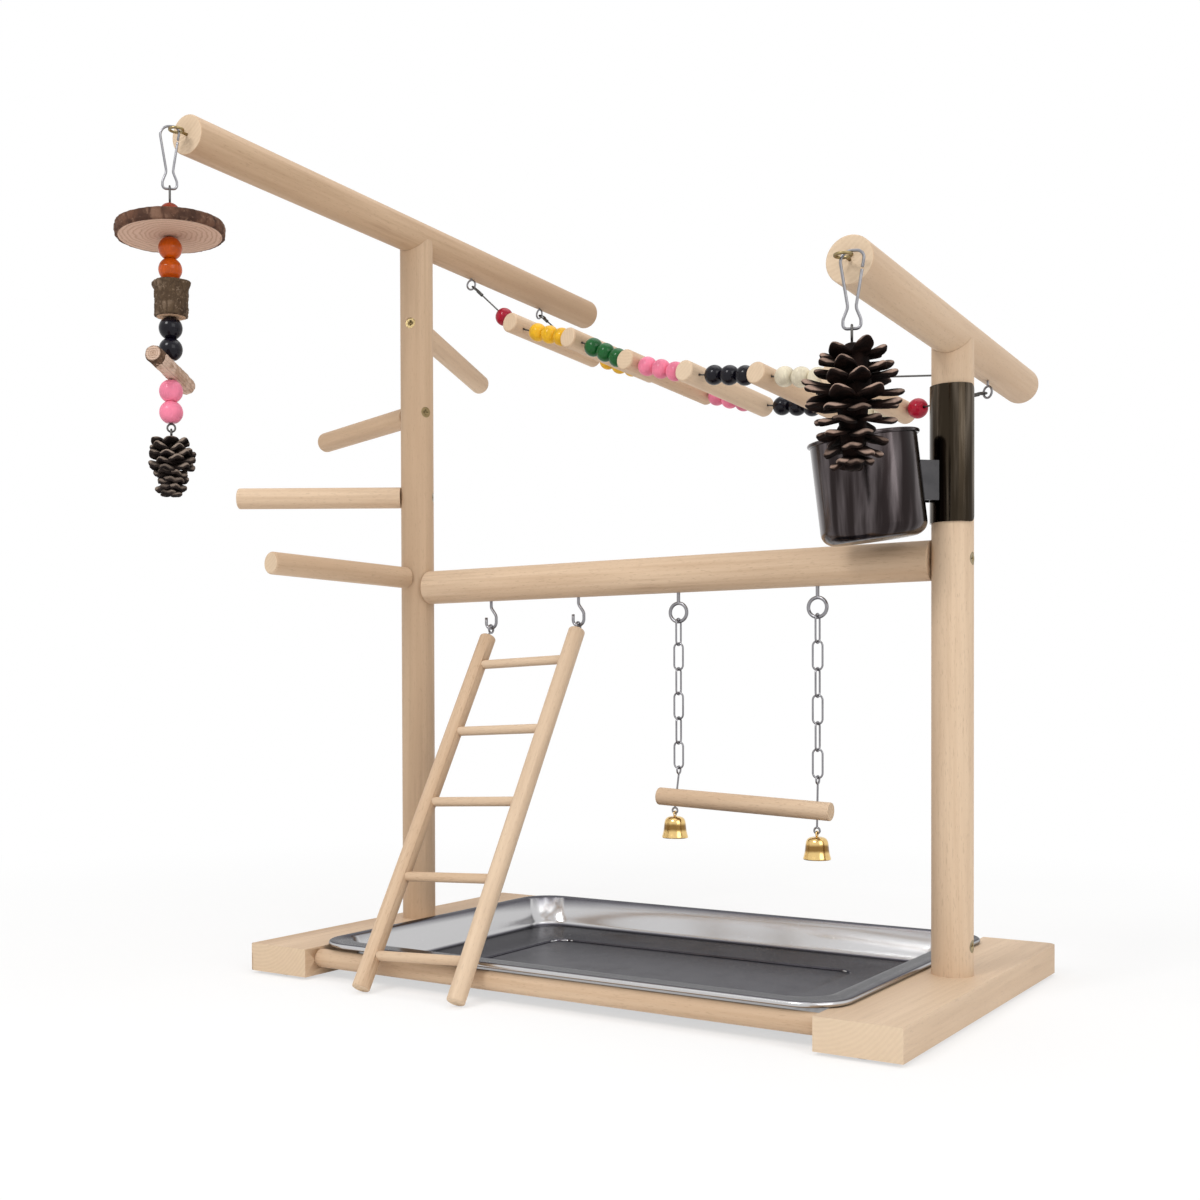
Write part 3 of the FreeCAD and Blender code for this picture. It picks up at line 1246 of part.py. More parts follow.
# ------------------------------------------------------------------ output
def all_pieces():
    """Every node's shape, measured from the point on the table midway between the posts."""
    pieces = {}
    for group in (timber_frame, wire_fittings, ladder, swing, cup_set, left_toy, right_toy, bridge):
        pieces.update(group())
    pieces["tray"] = tray()
    return pieces


def footprint_centre(pieces):
    """Point on the table under the middle of everything's box, the origin of the files."""
    middle = Part.makeCompound(list(pieces.values())).BoundBox.Center
    return Vec(middle.x, middle.y, 0)


os.makedirs("parts", exist_ok=True)
stand_pieces = all_pieces()
origin = footprint_centre(stand_pieces)
for node, shape in sorted(stand_pieces.items()):
    shape.translate(origin * -1)
    shape.exportStep("parts/%s.step" % node)
    print(node, len(shape.Solids), shape.isValid(), round(shape.Volume, 1))
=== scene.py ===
"""Parrot play stand: the looks of every piece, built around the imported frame."""

import logging
import math
import random
from collections.abc import Callable, Iterable, Sequence
from dataclasses import dataclass, field
from enum import Enum

import bmesh
import bpy
import numpy as np
from mathutils import Matrix, Vector, noise

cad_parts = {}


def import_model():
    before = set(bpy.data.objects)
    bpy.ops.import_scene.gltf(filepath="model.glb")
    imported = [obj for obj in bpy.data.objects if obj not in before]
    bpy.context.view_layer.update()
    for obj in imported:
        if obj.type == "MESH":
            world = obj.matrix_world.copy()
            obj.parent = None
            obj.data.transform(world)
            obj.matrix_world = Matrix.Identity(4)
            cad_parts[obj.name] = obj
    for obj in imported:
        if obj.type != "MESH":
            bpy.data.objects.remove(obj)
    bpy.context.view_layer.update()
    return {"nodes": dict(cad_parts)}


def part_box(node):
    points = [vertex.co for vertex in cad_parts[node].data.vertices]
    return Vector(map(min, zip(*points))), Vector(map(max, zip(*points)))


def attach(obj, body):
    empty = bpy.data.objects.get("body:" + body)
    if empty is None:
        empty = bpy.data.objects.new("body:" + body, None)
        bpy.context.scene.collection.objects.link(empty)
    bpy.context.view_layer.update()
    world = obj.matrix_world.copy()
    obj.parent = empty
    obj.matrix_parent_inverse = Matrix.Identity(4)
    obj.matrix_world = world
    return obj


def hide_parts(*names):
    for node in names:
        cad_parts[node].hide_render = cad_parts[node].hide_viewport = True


LOG = logging.getLogger("play_stand")
MM = 0.001
Z_WAY = Vector((0.0, 0.0, 1.0))
Colour = tuple[float, float, float]
Place = tuple[float, float, float]


# ------------------------------------------------------------------ shader maths
def operator(operation: str, swapped: bool = False) -> Callable[["Value", "Link"], "Value"]:
    """Makes an operator of Value.

    Args:
        operation: The Math node's operation.
        swapped: True where the value stands second.

    Returns:
        The method, which adds the node.
    """

    def apply(self: "Value", other: "Link") -> "Value":
        """Result of one Math node on two terms."""
        terms = (other, self) if swapped else (self, other)
        return self.graph.read("ShaderNodeMath", {"operation": operation}, dict(enumerate(terms)))

    return apply


class Value:
    """One socket of a material; operators on it add the Math nodes they need."""

    def __init__(self, graph: "Graph", socket: bpy.types.NodeSocket) -> None:
        """Wraps a socket of the graph."""
        self.graph = graph
        self.socket = socket

    __add__, __radd__ = operator("ADD"), operator("ADD", True)
    __sub__, __rsub__ = operator("SUBTRACT"), operator("SUBTRACT", True)
    __mul__, __rmul__ = operator("MULTIPLY"), operator("MULTIPLY", True)
    __truediv__, __rtruediv__ = operator("DIVIDE"), operator("DIVIDE", True)
    __pow__, __rpow__ = operator("POWER"), operator("POWER", True)
    highest = operator("MAXIMUM")

    def __abs__(self) -> "Value":
        """Absolute value."""
        return self.graph.read("ShaderNodeMath", {"operation": "ABSOLUTE"}, {0: self})

    def sine(self) -> "Value":
        """Sine of the value in radians."""
        return self.graph.read("ShaderNodeMath", {"operation": "SINE"}, {0: self})

    def ease(self, low: float, high: float) -> "Value":
        """Smooth rise from 0 to 1.

        Args:
            low: Value that gives 0.
            high: Value that gives 1, which may be the smaller one.

        Returns:
            The eased value.
        """
        return self.graph.read(
            "ShaderNodeMapRange",
            {"interpolation_type": "SMOOTHSTEP"},
            {"Value": self, "From Min": low, "From Max": high},
        )


Link = Value | float | int | tuple | Vector


class Graph:
    """Nodes of one material or of the world, with the shader and output in place."""

    def __init__(self, block: bpy.types.ID, shader: str = "Principled BSDF") -> None:
        """Gives the block its nodes and finds its shader.

        Args:
            block: The material or the world.
            shader: Name of the shader's node.
        """
        block.use_nodes = True
        self.tree = block.node_tree
        self.shader = self.tree.nodes[shader]

    def node(
        self, kind: str, settings: dict | None = None, inputs: dict | None = None
    ) -> bpy.types.Node:
        """Adds a node.

        Args:
            kind: The node's type name.
            settings: Its options, set first.
            inputs: Values or links of its sockets, by name or place.

        Returns:
            The node.
        """
        made = self.tree.nodes.new(kind)
        for key, option in (settings or {}).items():
            setattr(made, key, option)
        for key, term in (inputs or {}).items():
            self.join(term, made.inputs[key])
        return made

    def join(self, term: Link, socket: bpy.types.NodeSocket) -> None:
        """Links a value to a socket, or sets the socket to a number or colour.

        Args:
            term: The value, number, vector or colour.
            socket: The input that takes it.
        """
        if isinstance(term, Value):
            self.tree.links.new(term.socket, socket)
        elif socket.type == "RGBA" and len(term) == 3:
            socket.default_value = (*term, 1.0)
        else:
            socket.default_value = term

    def read(
        self, kind: str, settings: dict | None = None, inputs: dict | None = None, output: int | str = 0
    ) -> Value:
        """One output of a new node, as a value."""
        return Value(self, self.node(kind, settings, inputs).outputs[output])

    def vector(self, operation: str, *terms: Link) -> Value:
        """Vector result of a Vector Math node."""
        return self.read("ShaderNodeVectorMath", {"operation": operation}, dict(enumerate(terms)))

    def dot(self, first: Link, second: Link) -> Value:
        """Dot product."""
        terms = {0: first, 1: second}
        return self.read("ShaderNodeVectorMath", {"operation": "DOT_PRODUCT"}, terms, "Value")

    def place(self) -> Value:
        """Object coordinates."""
        return self.read("ShaderNodeTexCoord", output="Object")

    def facing(self) -> Value:
        """The surface's own direction on the object."""
        return self.read("ShaderNodeTexCoord", output="Normal")

    def mark(self, name: str) -> Value:
        """A number kept on the piece's vertices."""
        return self.read("ShaderNodeAttribute", {"attribute_name": name}, output="Fac")

    def noise(self, where: Value, scale: float, detail: float = 3.0, rough: float = 0.5) -> Value:
        """Cloudy pattern.

        Args:
            where: Place that the pattern is read at.
            scale: Its fineness.
            detail: Number of its octaves.
            rough: Strength of each octave beside the one before.

        Returns:
            The pattern, from 0 to 1.
        """
        return self.read(
            "ShaderNodeTexNoise",
            inputs={"Vector": where, "Scale": scale, "Detail": detail, "Roughness": rough},
        )

    def cells(self, where: Value, scale: float) -> Value:
        """Pattern of cells.

        Args:
            where: Place that the pattern is read at.
            scale: Its fineness.

        Returns:
            The distance to the nearest cell's edge.
        """
        settings, inputs = {"feature": "DISTANCE_TO_EDGE"}, {"Vector": where, "Scale": scale}
        return self.read("ShaderNodeTexVoronoi", settings, inputs, "Distance")

    def mix(self, share: Link, first: Link, second: Link) -> Value:
        """Mix of two colours."""
        return self.read("ShaderNodeMix", {"data_type": "RGBA"}, {0: share, 6: first, 7: second}, 2)

    def along(self, centre: Vector, way: Vector) -> tuple[Value, Value, Value]:
        """Coordinates across and along a direction, from a centre.

        Args:
            centre: Point that is zero.
            way: Direction of the last coordinate.

        Returns:
            Two coordinates across the direction and one along it, in metres.
        """
        side = way.cross(Vector((0.0, 1.0, 0.0)) if abs(way.z) > 0.7 else Z_WAY).normalized()
        other = way.cross(side)
        local = self.vector("SUBTRACT", self.place(), tuple(centre))
        return tuple(self.dot(local, tuple(axis)) for axis in (side, other, way))

    def combine(self, x: Link, y: Link, z: Link) -> Value:
        """Vector of three values."""
        return self.read("ShaderNodeCombineXYZ", inputs={0: x, 1: y, 2: z})

    def bump(self, height: Value, distance: float) -> None:
        """Feeds a height to the shader's normal."""
        made = self.read("ShaderNodeBump", inputs={"Height": height, "Distance": distance, "Strength": 1.0})
        self.join(made, self.shader.inputs["Normal"])

    def dress(self, **sockets: Link) -> None:
        """Sets sockets of the shader.

        Args:
            **sockets: What each takes, by its name with _ for a space.
        """
        for key, term in sockets.items():
            words = " ".join(w if w == "IOR" else w.capitalize() for w in key.split("_"))
            self.join(term, self.shader.inputs[words])

    def seen(self) -> Value:
        """Tells where the surface is seen.

        Returns:
            1 where the camera, a reflection or a transmission sees it, or else 0.
        """
        path = self.node("ShaderNodeLightPath")
        camera, glossy, through = (
            Value(self, path.outputs["Is %s Ray" % kind]) for kind in ("Camera", "Glossy", "Transmission")
        )
        return camera.highest(glossy).highest(through)

    def blend(self, share: Value, other: str, output: str, **colours: Link) -> None:
        """Mixes the shader with another one before the output.

        Args:
            share: Share of the other shader.
            other: Type name of its node.
            output: Name of the output node.
            colours: Sockets of the other shader.
        """
        first, second = Value(self, self.shader.outputs[0]), self.read(other, inputs=colours)
        mixed = self.read("ShaderNodeMixShader", inputs={0: share, 1: first, 2: second})
        self.join(mixed, self.tree.nodes[output].inputs["Surface"])


# ------------------------------------------------------------------ finishes
@dataclass(frozen=True)
class Finish:
    """Shared way in which a finish becomes a material."""

    def make(self, name: str) -> bpy.types.Material:
        """Builds the material.

        Args:
            name: Name of the material.

        Returns:
            The material, dressed.
        """
        made = bpy.data.materials.new(name)
        self.add_nodes(Graph(made))
        return made


class Metal(Enum):
    """Lightest and darkest colour, share of light at the edges, roughness, ripple in mm and painted
    reflection bands.
    """

    NICKEL = ((0.29, 0.285, 0.30), (0.15, 0.148, 0.158), 0.8, 0.24, 0.002, 0.0)
    DARK = ((0.12, 0.115, 0.11), (0.05, 0.048, 0.045), 0.7, 0.34, 0.004, 0.0)
    PAN = ((0.140, 0.135, 0.155), (0.085, 0.081, 0.095), 0.50, 0.15, 0.012, 0.0)
    # CUP and CLIP: their near-black colours stand in for dark reflections, and their bands round the axis
    # are painted lighter reflections.
    CUP = ((0.165, 0.142, 0.145), (0.026, 0.020, 0.020), 1.0, 0.09, 0.010, 2.6)
    CLIP = ((0.19, 0.155, 0.12), (0.032, 0.024, 0.016), 1.0, 0.09, 0.010, 2.2)
    BRACKET = ((0.06, 0.058, 0.06), (0.03, 0.03, 0.032), 0.8, 0.28, 0.030, 0.0)
    GOLD = ((0.74, 0.50, 0.17), (0.42, 0.27, 0.08), 1.0, 0.10, 0.008, 0.0)
    BRASS = ((0.34, 0.26, 0.13), (0.16, 0.12, 0.06), 0.8, 0.24, 0.006, 0.0)


class Dye(Enum):
    """Bead colours with the share of gloss."""

    ORANGE = ((0.53, 0.082, 0.002), 0.9)
    DARK_ORANGE = ((0.27, 0.030, 0.004), 0.6)
    BLACK = ((0.0035, 0.0025, 0.007), 0.8)
    PINK = ((0.88, 0.225, 0.34), 0.5)
    RED = ((0.40, 0.006, 0.028), 0.8)
    YELLOW = ((0.84, 0.45, 0.018), 0.6)
    GREEN = ((0.008, 0.105, 0.022), 0.8)
    WHITE = ((0.76, 0.68, 0.52), 0.3)


class BeechShade(Enum):
    """Pale and deep colour of a stick of beech."""

    COMMON = ((0.73, 0.54, 0.37), (0.50, 0.325, 0.195))
    BROWNER = ((0.64, 0.445, 0.285), (0.42, 0.26, 0.145))
    PALER = ((0.80, 0.61, 0.43), (0.58, 0.395, 0.25))


@dataclass(frozen=True)
class BeechFinish(Finish):
    """Sanded, unfinished beech with its grain along one direction."""

    centre: Vector
    way: Vector
    seed: float = 0.0
    pale: Colour = BeechShade.COMMON.value[0]
    deep: Colour = BeechShade.COMMON.value[1]

    def add_nodes(self, g: Graph) -> None:
        """Adds the finish's nodes.

        Args:
            g: Graph of the new material.
        """
        tone = g.mark("tone")
        x, y, along = g.along(self.centre, self.way)
        shift = along + tone * 3.1 + self.seed
        broad = g.noise(g.combine(x * 34.0, y * 34.0, shift * 2.2), 1.0, 3.0, 0.55)
        streak = g.noise(g.combine(x * 330.0, y * 330.0, shift * 9.0), 1.0, 4.0, 0.6)
        fleck = g.noise(g.combine(x * 1500.0, y * 1500.0, shift * 210.0), 1.0, 1.0, 0.5)
        ray = fleck.ease(0.60, 0.72)
        ring_r = ((x + 0.021) * (x + 0.021) + (y + 0.034) * (y + 0.034)) ** 0.5
        rings = (ring_r * 2600.0 + broad * 9.0).sine() * 0.5 + 0.5
        end = abs(g.dot(g.facing(), tuple(self.way))).ease(0.80, 0.93)
        patch = g.noise(g.combine(x * 60.0, y * 60.0, shift * 14.0), 1.0, 2.0, 0.6).ease(0.56, 0.80)
        side = g.mix(broad.ease(0.28, 0.74) * 0.85, self.pale, self.deep)
        side = g.mix(streak.ease(0.35, 0.75) * 0.50, side, self.deep)
        side = g.mix(patch * streak.ease(0.40, 0.62) * 0.45, side, (0.36, 0.22, 0.13))
        side = g.mix(ray * 0.36, side, (0.34, 0.20, 0.11))
        sawn = g.mix(rings * 0.16 + streak * 0.3, (0.74, 0.57, 0.40), (0.50, 0.345, 0.215))
        colour = g.mix(end, side, sawn)
        colour = g.mix(tone * 0.30, colour, (0.84, 0.69, 0.52))
        g.bump(streak * 0.5 + fleck * 0.35 + rings * end * 0.25, 0.00022)
        g.dress(
            Base_Color=colour,
            Roughness=0.50 + streak * 0.14 + end * 0.16 - ray * 0.05,
            Specular_IOR_Level=0.35,
        )


@dataclass(frozen=True)
class MetalFinish(Finish):
    """Bright or dull metal with handling marks, a faint drawn grain and, for some kinds, painted
    reflections: bands round its axis, or brighter upright walls.
    """

    kind: Metal
    grain: Vector = Z_WAY
    centre: Vector = Vector()
    # Colour painted on upright walls as a brighter reflection.
    wall: Colour | None = None

    def add_nodes(self, g: Graph) -> None:
        """Adds the finish's nodes.

        Args:
            g: Graph of the new material.
        """
        light, dark, edge, rough, ripple, reflection_bands = self.kind.value
        x, y, along = g.along(self.centre, self.grain)
        cloud = g.noise(g.place(), 55.0, 4.0, 0.6)
        drawn = g.noise(g.combine(x * 1900.0, y * 1900.0, along * 26.0), 1.0, 2.0, 0.5)
        speck = g.noise(g.place(), 900.0, 2.0, 0.7).ease(0.62, 0.76)
        share = cloud.ease(0.42, 0.78) * 0.55 + speck * 0.3
        # Painted reflection: lighter bands round the axis take the place of the handling marks in the
        # colour.
        if reflection_bands:
            reach = (x * x + y * y) ** 0.5 + 1e-6
            where = g.combine(x / reach * reflection_bands, y / reach * reflection_bands, along * 9.0)
            painted_reflection = g.noise(where, 1.0, 4.0, 0.55)
            share = 1.0 - painted_reflection.ease(0.42, 0.74) * 0.9 + speck * 0.05
        shade = g.mix(share, light, dark)
        # Painted reflection: upright walls take the brighter wall colour.
        if self.wall:
            shade = g.mix(abs(g.dot(g.facing(), (0.0, 0.0, 1.0))).ease(0.92, 0.60), shade, self.wall)
        g.bump(drawn * 0.55 + cloud * 0.6, ripple * MM)
        g.dress(
            Base_Color=shade,
            Metallic=1.0,
            Roughness=rough + cloud * 0.08 + drawn * 0.05 + speck * 0.1,
            Specular_Tint=(edge, edge, edge),
        )


@dataclass(frozen=True)
class GiltFinish(Finish):
    """Bright gilt with a dark band round its waist, which is a painted reflection."""

    waist: float
    reach: float = 2.1 * MM
    bright: Colour = (0.80, 0.56, 0.23)
    dark_reflection_colour: Colour = (0.17, 0.075, 0.012)

    def add_nodes(self, g: Graph) -> None:
        """Adds the finish's nodes.

        Args:
            g: Graph of the new material.
        """
        height = g.dot(g.place(), (0.0, 0.0, 1.0))
        cloud = g.noise(g.place(), 160.0, 3.0, 0.55)
        scuff = g.noise(g.place(), 1100.0, 2.0, 0.6).ease(0.60, 0.74)
        # Painted reflection: a dark band round the bell's waist.
        off = abs(height - self.waist + (cloud - 0.5) * 0.002)
        shade = g.mix(off.ease(self.reach * 1.6, self.reach * 0.5) * 0.85, self.bright, self.dark_reflection_colour)
        shade = g.mix(cloud.ease(0.5, 0.8) * 0.35 + scuff * 0.2, shade, (0.42, 0.25, 0.07))
        g.bump(cloud * 0.5 + scuff * 0.5, 0.000008)
        g.dress(Base_Color=shade, Metallic=1.0, Roughness=0.13 + cloud * 0.1 + scuff * 0.12)


@dataclass(frozen=True)
class DyedFinish(Finish):
    """Dyed and varnished bead wood, thinner in colour where the grain takes less."""

    dye: Dye

    def add_nodes(self, g: Graph) -> None:
        """Adds the finish's nodes.

        Args:
            g: Graph of the new material.
        """
        colour, gloss = self.dye.value
        tone = g.mark("tone")
        grain = g.noise(g.vector("MULTIPLY", g.place(), (900.0, 900.0, 150.0)), 1.0, 3.0, 0.55)
        cloud = g.noise(g.place(), 120.0, 3.0, 0.5)
        worn = g.noise(g.place(), 420.0, 2.0, 0.6).ease(0.60, 0.74)
        light = tuple(min(1.0, part * 1.4 + 0.004) for part in colour)
        dark = tuple(part * 0.62 for part in colour)
        shade = g.mix(cloud.ease(0.3, 0.75) * 0.8, colour, dark)
        shade = g.mix(grain.ease(0.50, 0.8) * 0.55 + tone * 0.2, shade, light)
        g.bump(grain * 0.6 + worn * 0.5, 0.00012)
        g.dress(
            Base_Color=shade,
            Roughness=0.44 - 0.18 * gloss + grain * 0.12 + worn * 0.12,
            Specular_IOR_Level=0.06,
            Coat_Weight=(1.0 - worn * 0.3) * (0.50 * gloss),
            Coat_Roughness=0.07,
        )


@dataclass(frozen=True)
class RubberFinish(Finish):
    """Matt black rubber."""

    def add_nodes(self, g: Graph) -> None:
        """Adds the finish's nodes.

        Args:
            g: Graph of the new material.
        """
        grit = g.noise(g.place(), 1600.0, 3.0, 0.6)
        dust = g.noise(g.place(), 90.0, 3.0, 0.6).ease(0.45, 0.8)
        shade = g.mix(dust * 0.5, (0.016, 0.016, 0.017), (0.075, 0.07, 0.065))
        g.bump(grit, 0.0002)
        g.dress(Base_Color=shade, Roughness=0.74 + grit * 0.2)


@dataclass(frozen=True)
class BarkFinish(Finish):
    """Rough bark, dark in its cracks and greyer on its plates."""

    dark: Colour = (0.045, 0.026, 0.017)
    plate: Colour = (0.17, 0.115, 0.078)
    dust: Colour = (0.30, 0.245, 0.19)
    scale: float = 240.0
    cracks: float = 0.8

    def add_nodes(self, g: Graph) -> None:
        """Adds the finish's nodes.

        Args:
            g: Graph of the new material.
        """
        warp = g.noise(g.place(), 160.0, 3.0, 0.6)
        where = g.vector("MULTIPLY", g.place(), (1.0, 1.0, 0.55))
        where = g.vector("ADD", where, g.combine(warp * 0.006, warp * 0.004, warp * 0.007))
        crack = g.cells(where, self.scale).ease(0.0, 0.16)
        fine = g.noise(g.place(), 1300.0, 4.0, 0.65)
        patch = g.noise(g.place(), 95.0, 3.0, 0.55).ease(0.46, 0.70)
        blot = g.noise(g.place(), 60.0, 3.0, 0.6).ease(0.44, 0.60)
        speck = g.noise(g.place(), 520.0, 2.0, 0.6).ease(0.58, 0.70)
        shade = g.mix((1.0 - crack) * self.cracks, self.plate, self.dark)
        shade = g.mix(blot * 0.55 + fine * 0.2, shade, self.dark)
        shade = g.mix(patch * crack * 0.6, shade, self.dust)
        shade = g.mix(speck * 0.6, shade, self.dust)
        g.bump(crack * self.cracks + fine * 0.5, 0.0007)
        g.dress(Base_Color=shade, Roughness=0.80 + fine * 0.16, Specular_IOR_Level=0.25)


@dataclass(frozen=True)
class SawnFinish(Finish):
    """Sawn end of a branch: rings about its pith, drying cracks and saw marks."""

    centre: Vector
    way: Vector
    reach: float
    pale: Colour = (0.70, 0.45, 0.29)
    heart: Colour = (0.47, 0.26, 0.15)
    ring_gap: float = 2.1 * MM

    def add_nodes(self, g: Graph) -> None:
        """Adds the finish's nodes.

        Args:
            g: Graph of the new material.
        """
        x, y, along = g.along(self.centre, self.way)
        wander = g.noise(g.combine(x * 70.0, y * 70.0, along * 10.0), 1.0, 3.0, 0.5)
        reach = (x * x + y * y) ** 0.5 + (wander - 0.5) * (self.reach * 0.22)
        ring = (reach * (math.tau / self.ring_gap)).sine() * 0.5 + 0.5
        fine = g.noise(g.combine(x * 1500.0, y * 1500.0, along * 300.0), 1.0, 3.0, 0.6)
        saw = (x * 5200.0 + wander * 16.0).sine() * 0.5 + 0.5
        split = g.read(
            "ShaderNodeTexWave",
            {"wave_type": "RINGS", "rings_direction": "SPHERICAL"},
            {"Vector": g.combine(x * 30.0, y * 220.0, 0.0), "Scale": 1.0, "Distortion": 5.0},
            1,
        ).ease(0.0, 0.05)
        shade = g.mix((reach / self.reach).ease(0.75, 0.05) * 0.5, self.pale, self.heart)
        shade = g.mix(ring**3.0 * 0.7, shade, self.heart)
        shade = g.mix(fine.ease(0.5, 0.8) * 0.4, shade, (0.80, 0.60, 0.42))
        shade = g.mix((1.0 - split) * 0.35, shade, (0.10, 0.05, 0.03))
        g.bump(ring * 0.3 + fine * 0.4 + saw * 0.3 + split * 0.4, 0.0003)
        g.dress(Base_Color=shade, Roughness=0.72 + fine * 0.18, Specular_IOR_Level=0.3)


@dataclass(frozen=True)
class ConeFinish(Finish):
    """Woody pine cone scales, paler on their worn tips and paler still where they face up, which is painted
    light from above.
    """

    dark: Colour = (0.0050, 0.0028, 0.0024)
    wood: Colour = (0.017, 0.008, 0.006)
    rim: Colour = (0.42, 0.29, 0.23)
    rim_share: float = 1.0

    def add_nodes(self, g: Graph) -> None:
        """Adds the finish's nodes.

        Args:
            g: Graph of the new material.
        """
        tip = g.mark("tip")
        tone = g.mark("tone")
        fibre = g.noise(g.place(), 620.0, 4.0, 0.65)
        patch = g.noise(g.place(), 170.0, 3.0, 0.55)
        shade = g.mix(patch.ease(0.35, 0.7), self.dark, self.wood)
        # Painted light from above: tips that face up take more of the pale colour, on top of their wear.
        top = g.dot(g.facing(), (0.0, 0.0, 1.0)).ease(-0.6, 0.25)
        worn = tip.ease(0.76, 0.96) * (0.45 + fibre) * (0.15 + top * 0.85) * self.rim_share
        shade = g.mix(worn * (0.35 + tone * 0.9), shade, self.rim)
        g.bump(fibre * 0.7 + patch * 0.4, 0.0006)
        g.dress(Base_Color=shade, Roughness=0.64 + fibre * 0.25, Specular_IOR_Level=0.08)


# ------------------------------------------------------------------ mesh helpers
def spun(profile: Sequence[tuple[float, float]], steps: int, closed: bool = True) -> bmesh.types.BMesh:
    """Turns a profile of radius and height a full turn about the Z axis.

    Args:
        profile: Radius and height of each point, in metres.
        steps: Divisions of the turn.
        closed: True to join the last point to the first.

    Returns:
        The turned mesh.
    """
    bm = bmesh.new()
    row = [bm.verts.new((radius, 0.0, height)) for radius, height in profile]
    ring = row + row[:1] if closed else row
    edges = [bm.edges.new(pair) for pair in zip(ring, ring[1:])]
    bmesh.ops.spin(
        bm, geom=row + edges, cent=(0, 0, 0), axis=(0, 0, 1), dvec=(0, 0, 0),
        angle=math.tau, steps=steps, use_merge=True,
    )
    bmesh.ops.remove_doubles(bm, verts=bm.verts, dist=1e-6)
    bmesh.ops.recalc_face_normals(bm, faces=bm.faces)
    return bm


def divided(points: Sequence[tuple[float, float]], step: float) -> list[tuple[float, float]]:
    """Adds points to a line, so that no run is longer than the step.

    Args:
        points: Radius and height of each point.
        step: Longest run, in metres.

    Returns:
        The same line with its extra points.
    """
    made = [points[0]]
    for (ax, az), (bx, bz) in zip(points, points[1:]):
        count = max(1, math.ceil(math.hypot(bx - ax, bz - az) / step))
        made += [(ax + (bx - ax) * i / count, az + (bz - az) * i / count) for i in range(1, count + 1)]
    return made


def facing_way(way: Vector, centre: Vector) -> Matrix:
    """Placement that turns the Z axis to a direction and moves the origin to a centre."""
    return Matrix.Translation(centre) @ Z_WAY.rotation_difference(way).to_matrix().to_4x4()


def turned(place: Vector, *turns: tuple[float, str]) -> Matrix:
    """Placement at a point, turned about its own axes in order.

    Args:
        place: The point.
        *turns: Angle in degrees and axis of each turn.

    Returns:
        The placement.
    """
    placement = Matrix.Translation(place)
    for angle, axis in turns:
        placement @= Matrix.Rotation(math.radians(angle), 4, axis)
    return placement


def to_piece(
    name: str, bm: bmesh.types.BMesh, materials: Sequence[bpy.types.Material], angle: float = 40.0
) -> bpy.types.Object:
    """Makes a bmesh an object at the origin, smooth but for edges sharper than the angle.

    Args:
        name: Name of the piece.
        bm: Its mesh, freed here.
        materials: Its materials, in the order of the faces' numbers.
        angle: Sharpest smooth edge, in degrees.

    Returns:
        The object, linked to the scene.
    """
    mesh = bpy.data.meshes.new(name)
    bm.to_mesh(mesh)
    bm.free()
    for material in materials:
        mesh.materials.append(material)
    mesh.polygons.foreach_set("use_smooth", [True] * len(mesh.polygons))
    mesh.set_sharp_from_angle(angle=math.radians(angle))
    made = bpy.data.objects.new(name, mesh)
    bpy.context.scene.collection.objects.link(made)
    return made


def add_mesh(whole: bmesh.types.BMesh, part: bmesh.types.BMesh) -> None:
    """Adds one mesh to another.

    Args:
        whole: The mesh that takes the part.
        part: The part, freed here.
    """
    mesh = bpy.data.meshes.new("part")
    part.to_mesh(mesh)
    part.free()
    whole.from_mesh(mesh)
    bpy.data.meshes.remove(mesh)


def round_off(piece: bpy.types.Object) -> bpy.types.Object:
    """Gives a piece a live level of rounding.

    Args:
        piece: The piece.

    Returns:
        The same piece.
    """
    rounded = piece.modifiers.new("rounded", "SUBSURF")
    rounded.levels = rounded.render_levels = 1
    return piece


def register(piece: bpy.types.Object, body: str, nodes: Iterable[str]) -> None:
    """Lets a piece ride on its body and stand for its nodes.

    Args:
        piece: The finished piece.
        body: Body that it moves with.
        nodes: Nodes that it stands for.
    """
    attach(piece, body)
    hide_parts(*nodes)
    LOG.info("%s rides on %s: %d faces", piece.name, body, len(piece.data.polygons))


def islands(bm: bmesh.types.BMesh) -> list[list[bmesh.types.BMVert]]:
    """Finds the loose parts of a mesh.

    Args:
        bm: The mesh.

    Returns:
        The vertices of each part.
    """
    left = set(bm.verts)
    found = []
    for start in bm.verts:
        if start not in left:
            continue
        left.discard(start)
        part, front = [start], [start]
        while front:
            for edge in front.pop().link_edges:
                for vert in edge.verts:
                    if vert in left:
                        left.discard(vert)
                        part.append(vert)
                        front.append(vert)
        found.append(part)
    return found


def faces_of(verts: Sequence[bmesh.types.BMVert]) -> list[bmesh.types.BMFace]:
    """Faces round a set of vertices, each once and always in the same order."""
    return list(dict.fromkeys(face for vert in verts for face in vert.link_faces))


def long_way(verts: Sequence[bmesh.types.BMVert]) -> Vector:
    """Finds the direction in which a set of vertices reaches furthest.

    Args:
        verts: The vertices.

    Returns:
        The direction, its largest share positive.
    """
    points = np.array([tuple(vert.co) for vert in verts])
    points -= (points.max(0) + points.min(0)) / 2
    way = Vector(np.linalg.eigh(points.T @ points)[1][:, -1])
    return way if max(way, key=abs) > 0 else -way


def middle(node: str) -> Vector:
    """Centre of a node's box."""
    low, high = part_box(node)
    return (low + high) / 2


def top_of(node: str) -> Vector:
    """Middle of the top of a node's box."""
    low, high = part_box(node)
    return Vector(((low.x + high.x) / 2, (low.y + high.y) / 2, high.z))


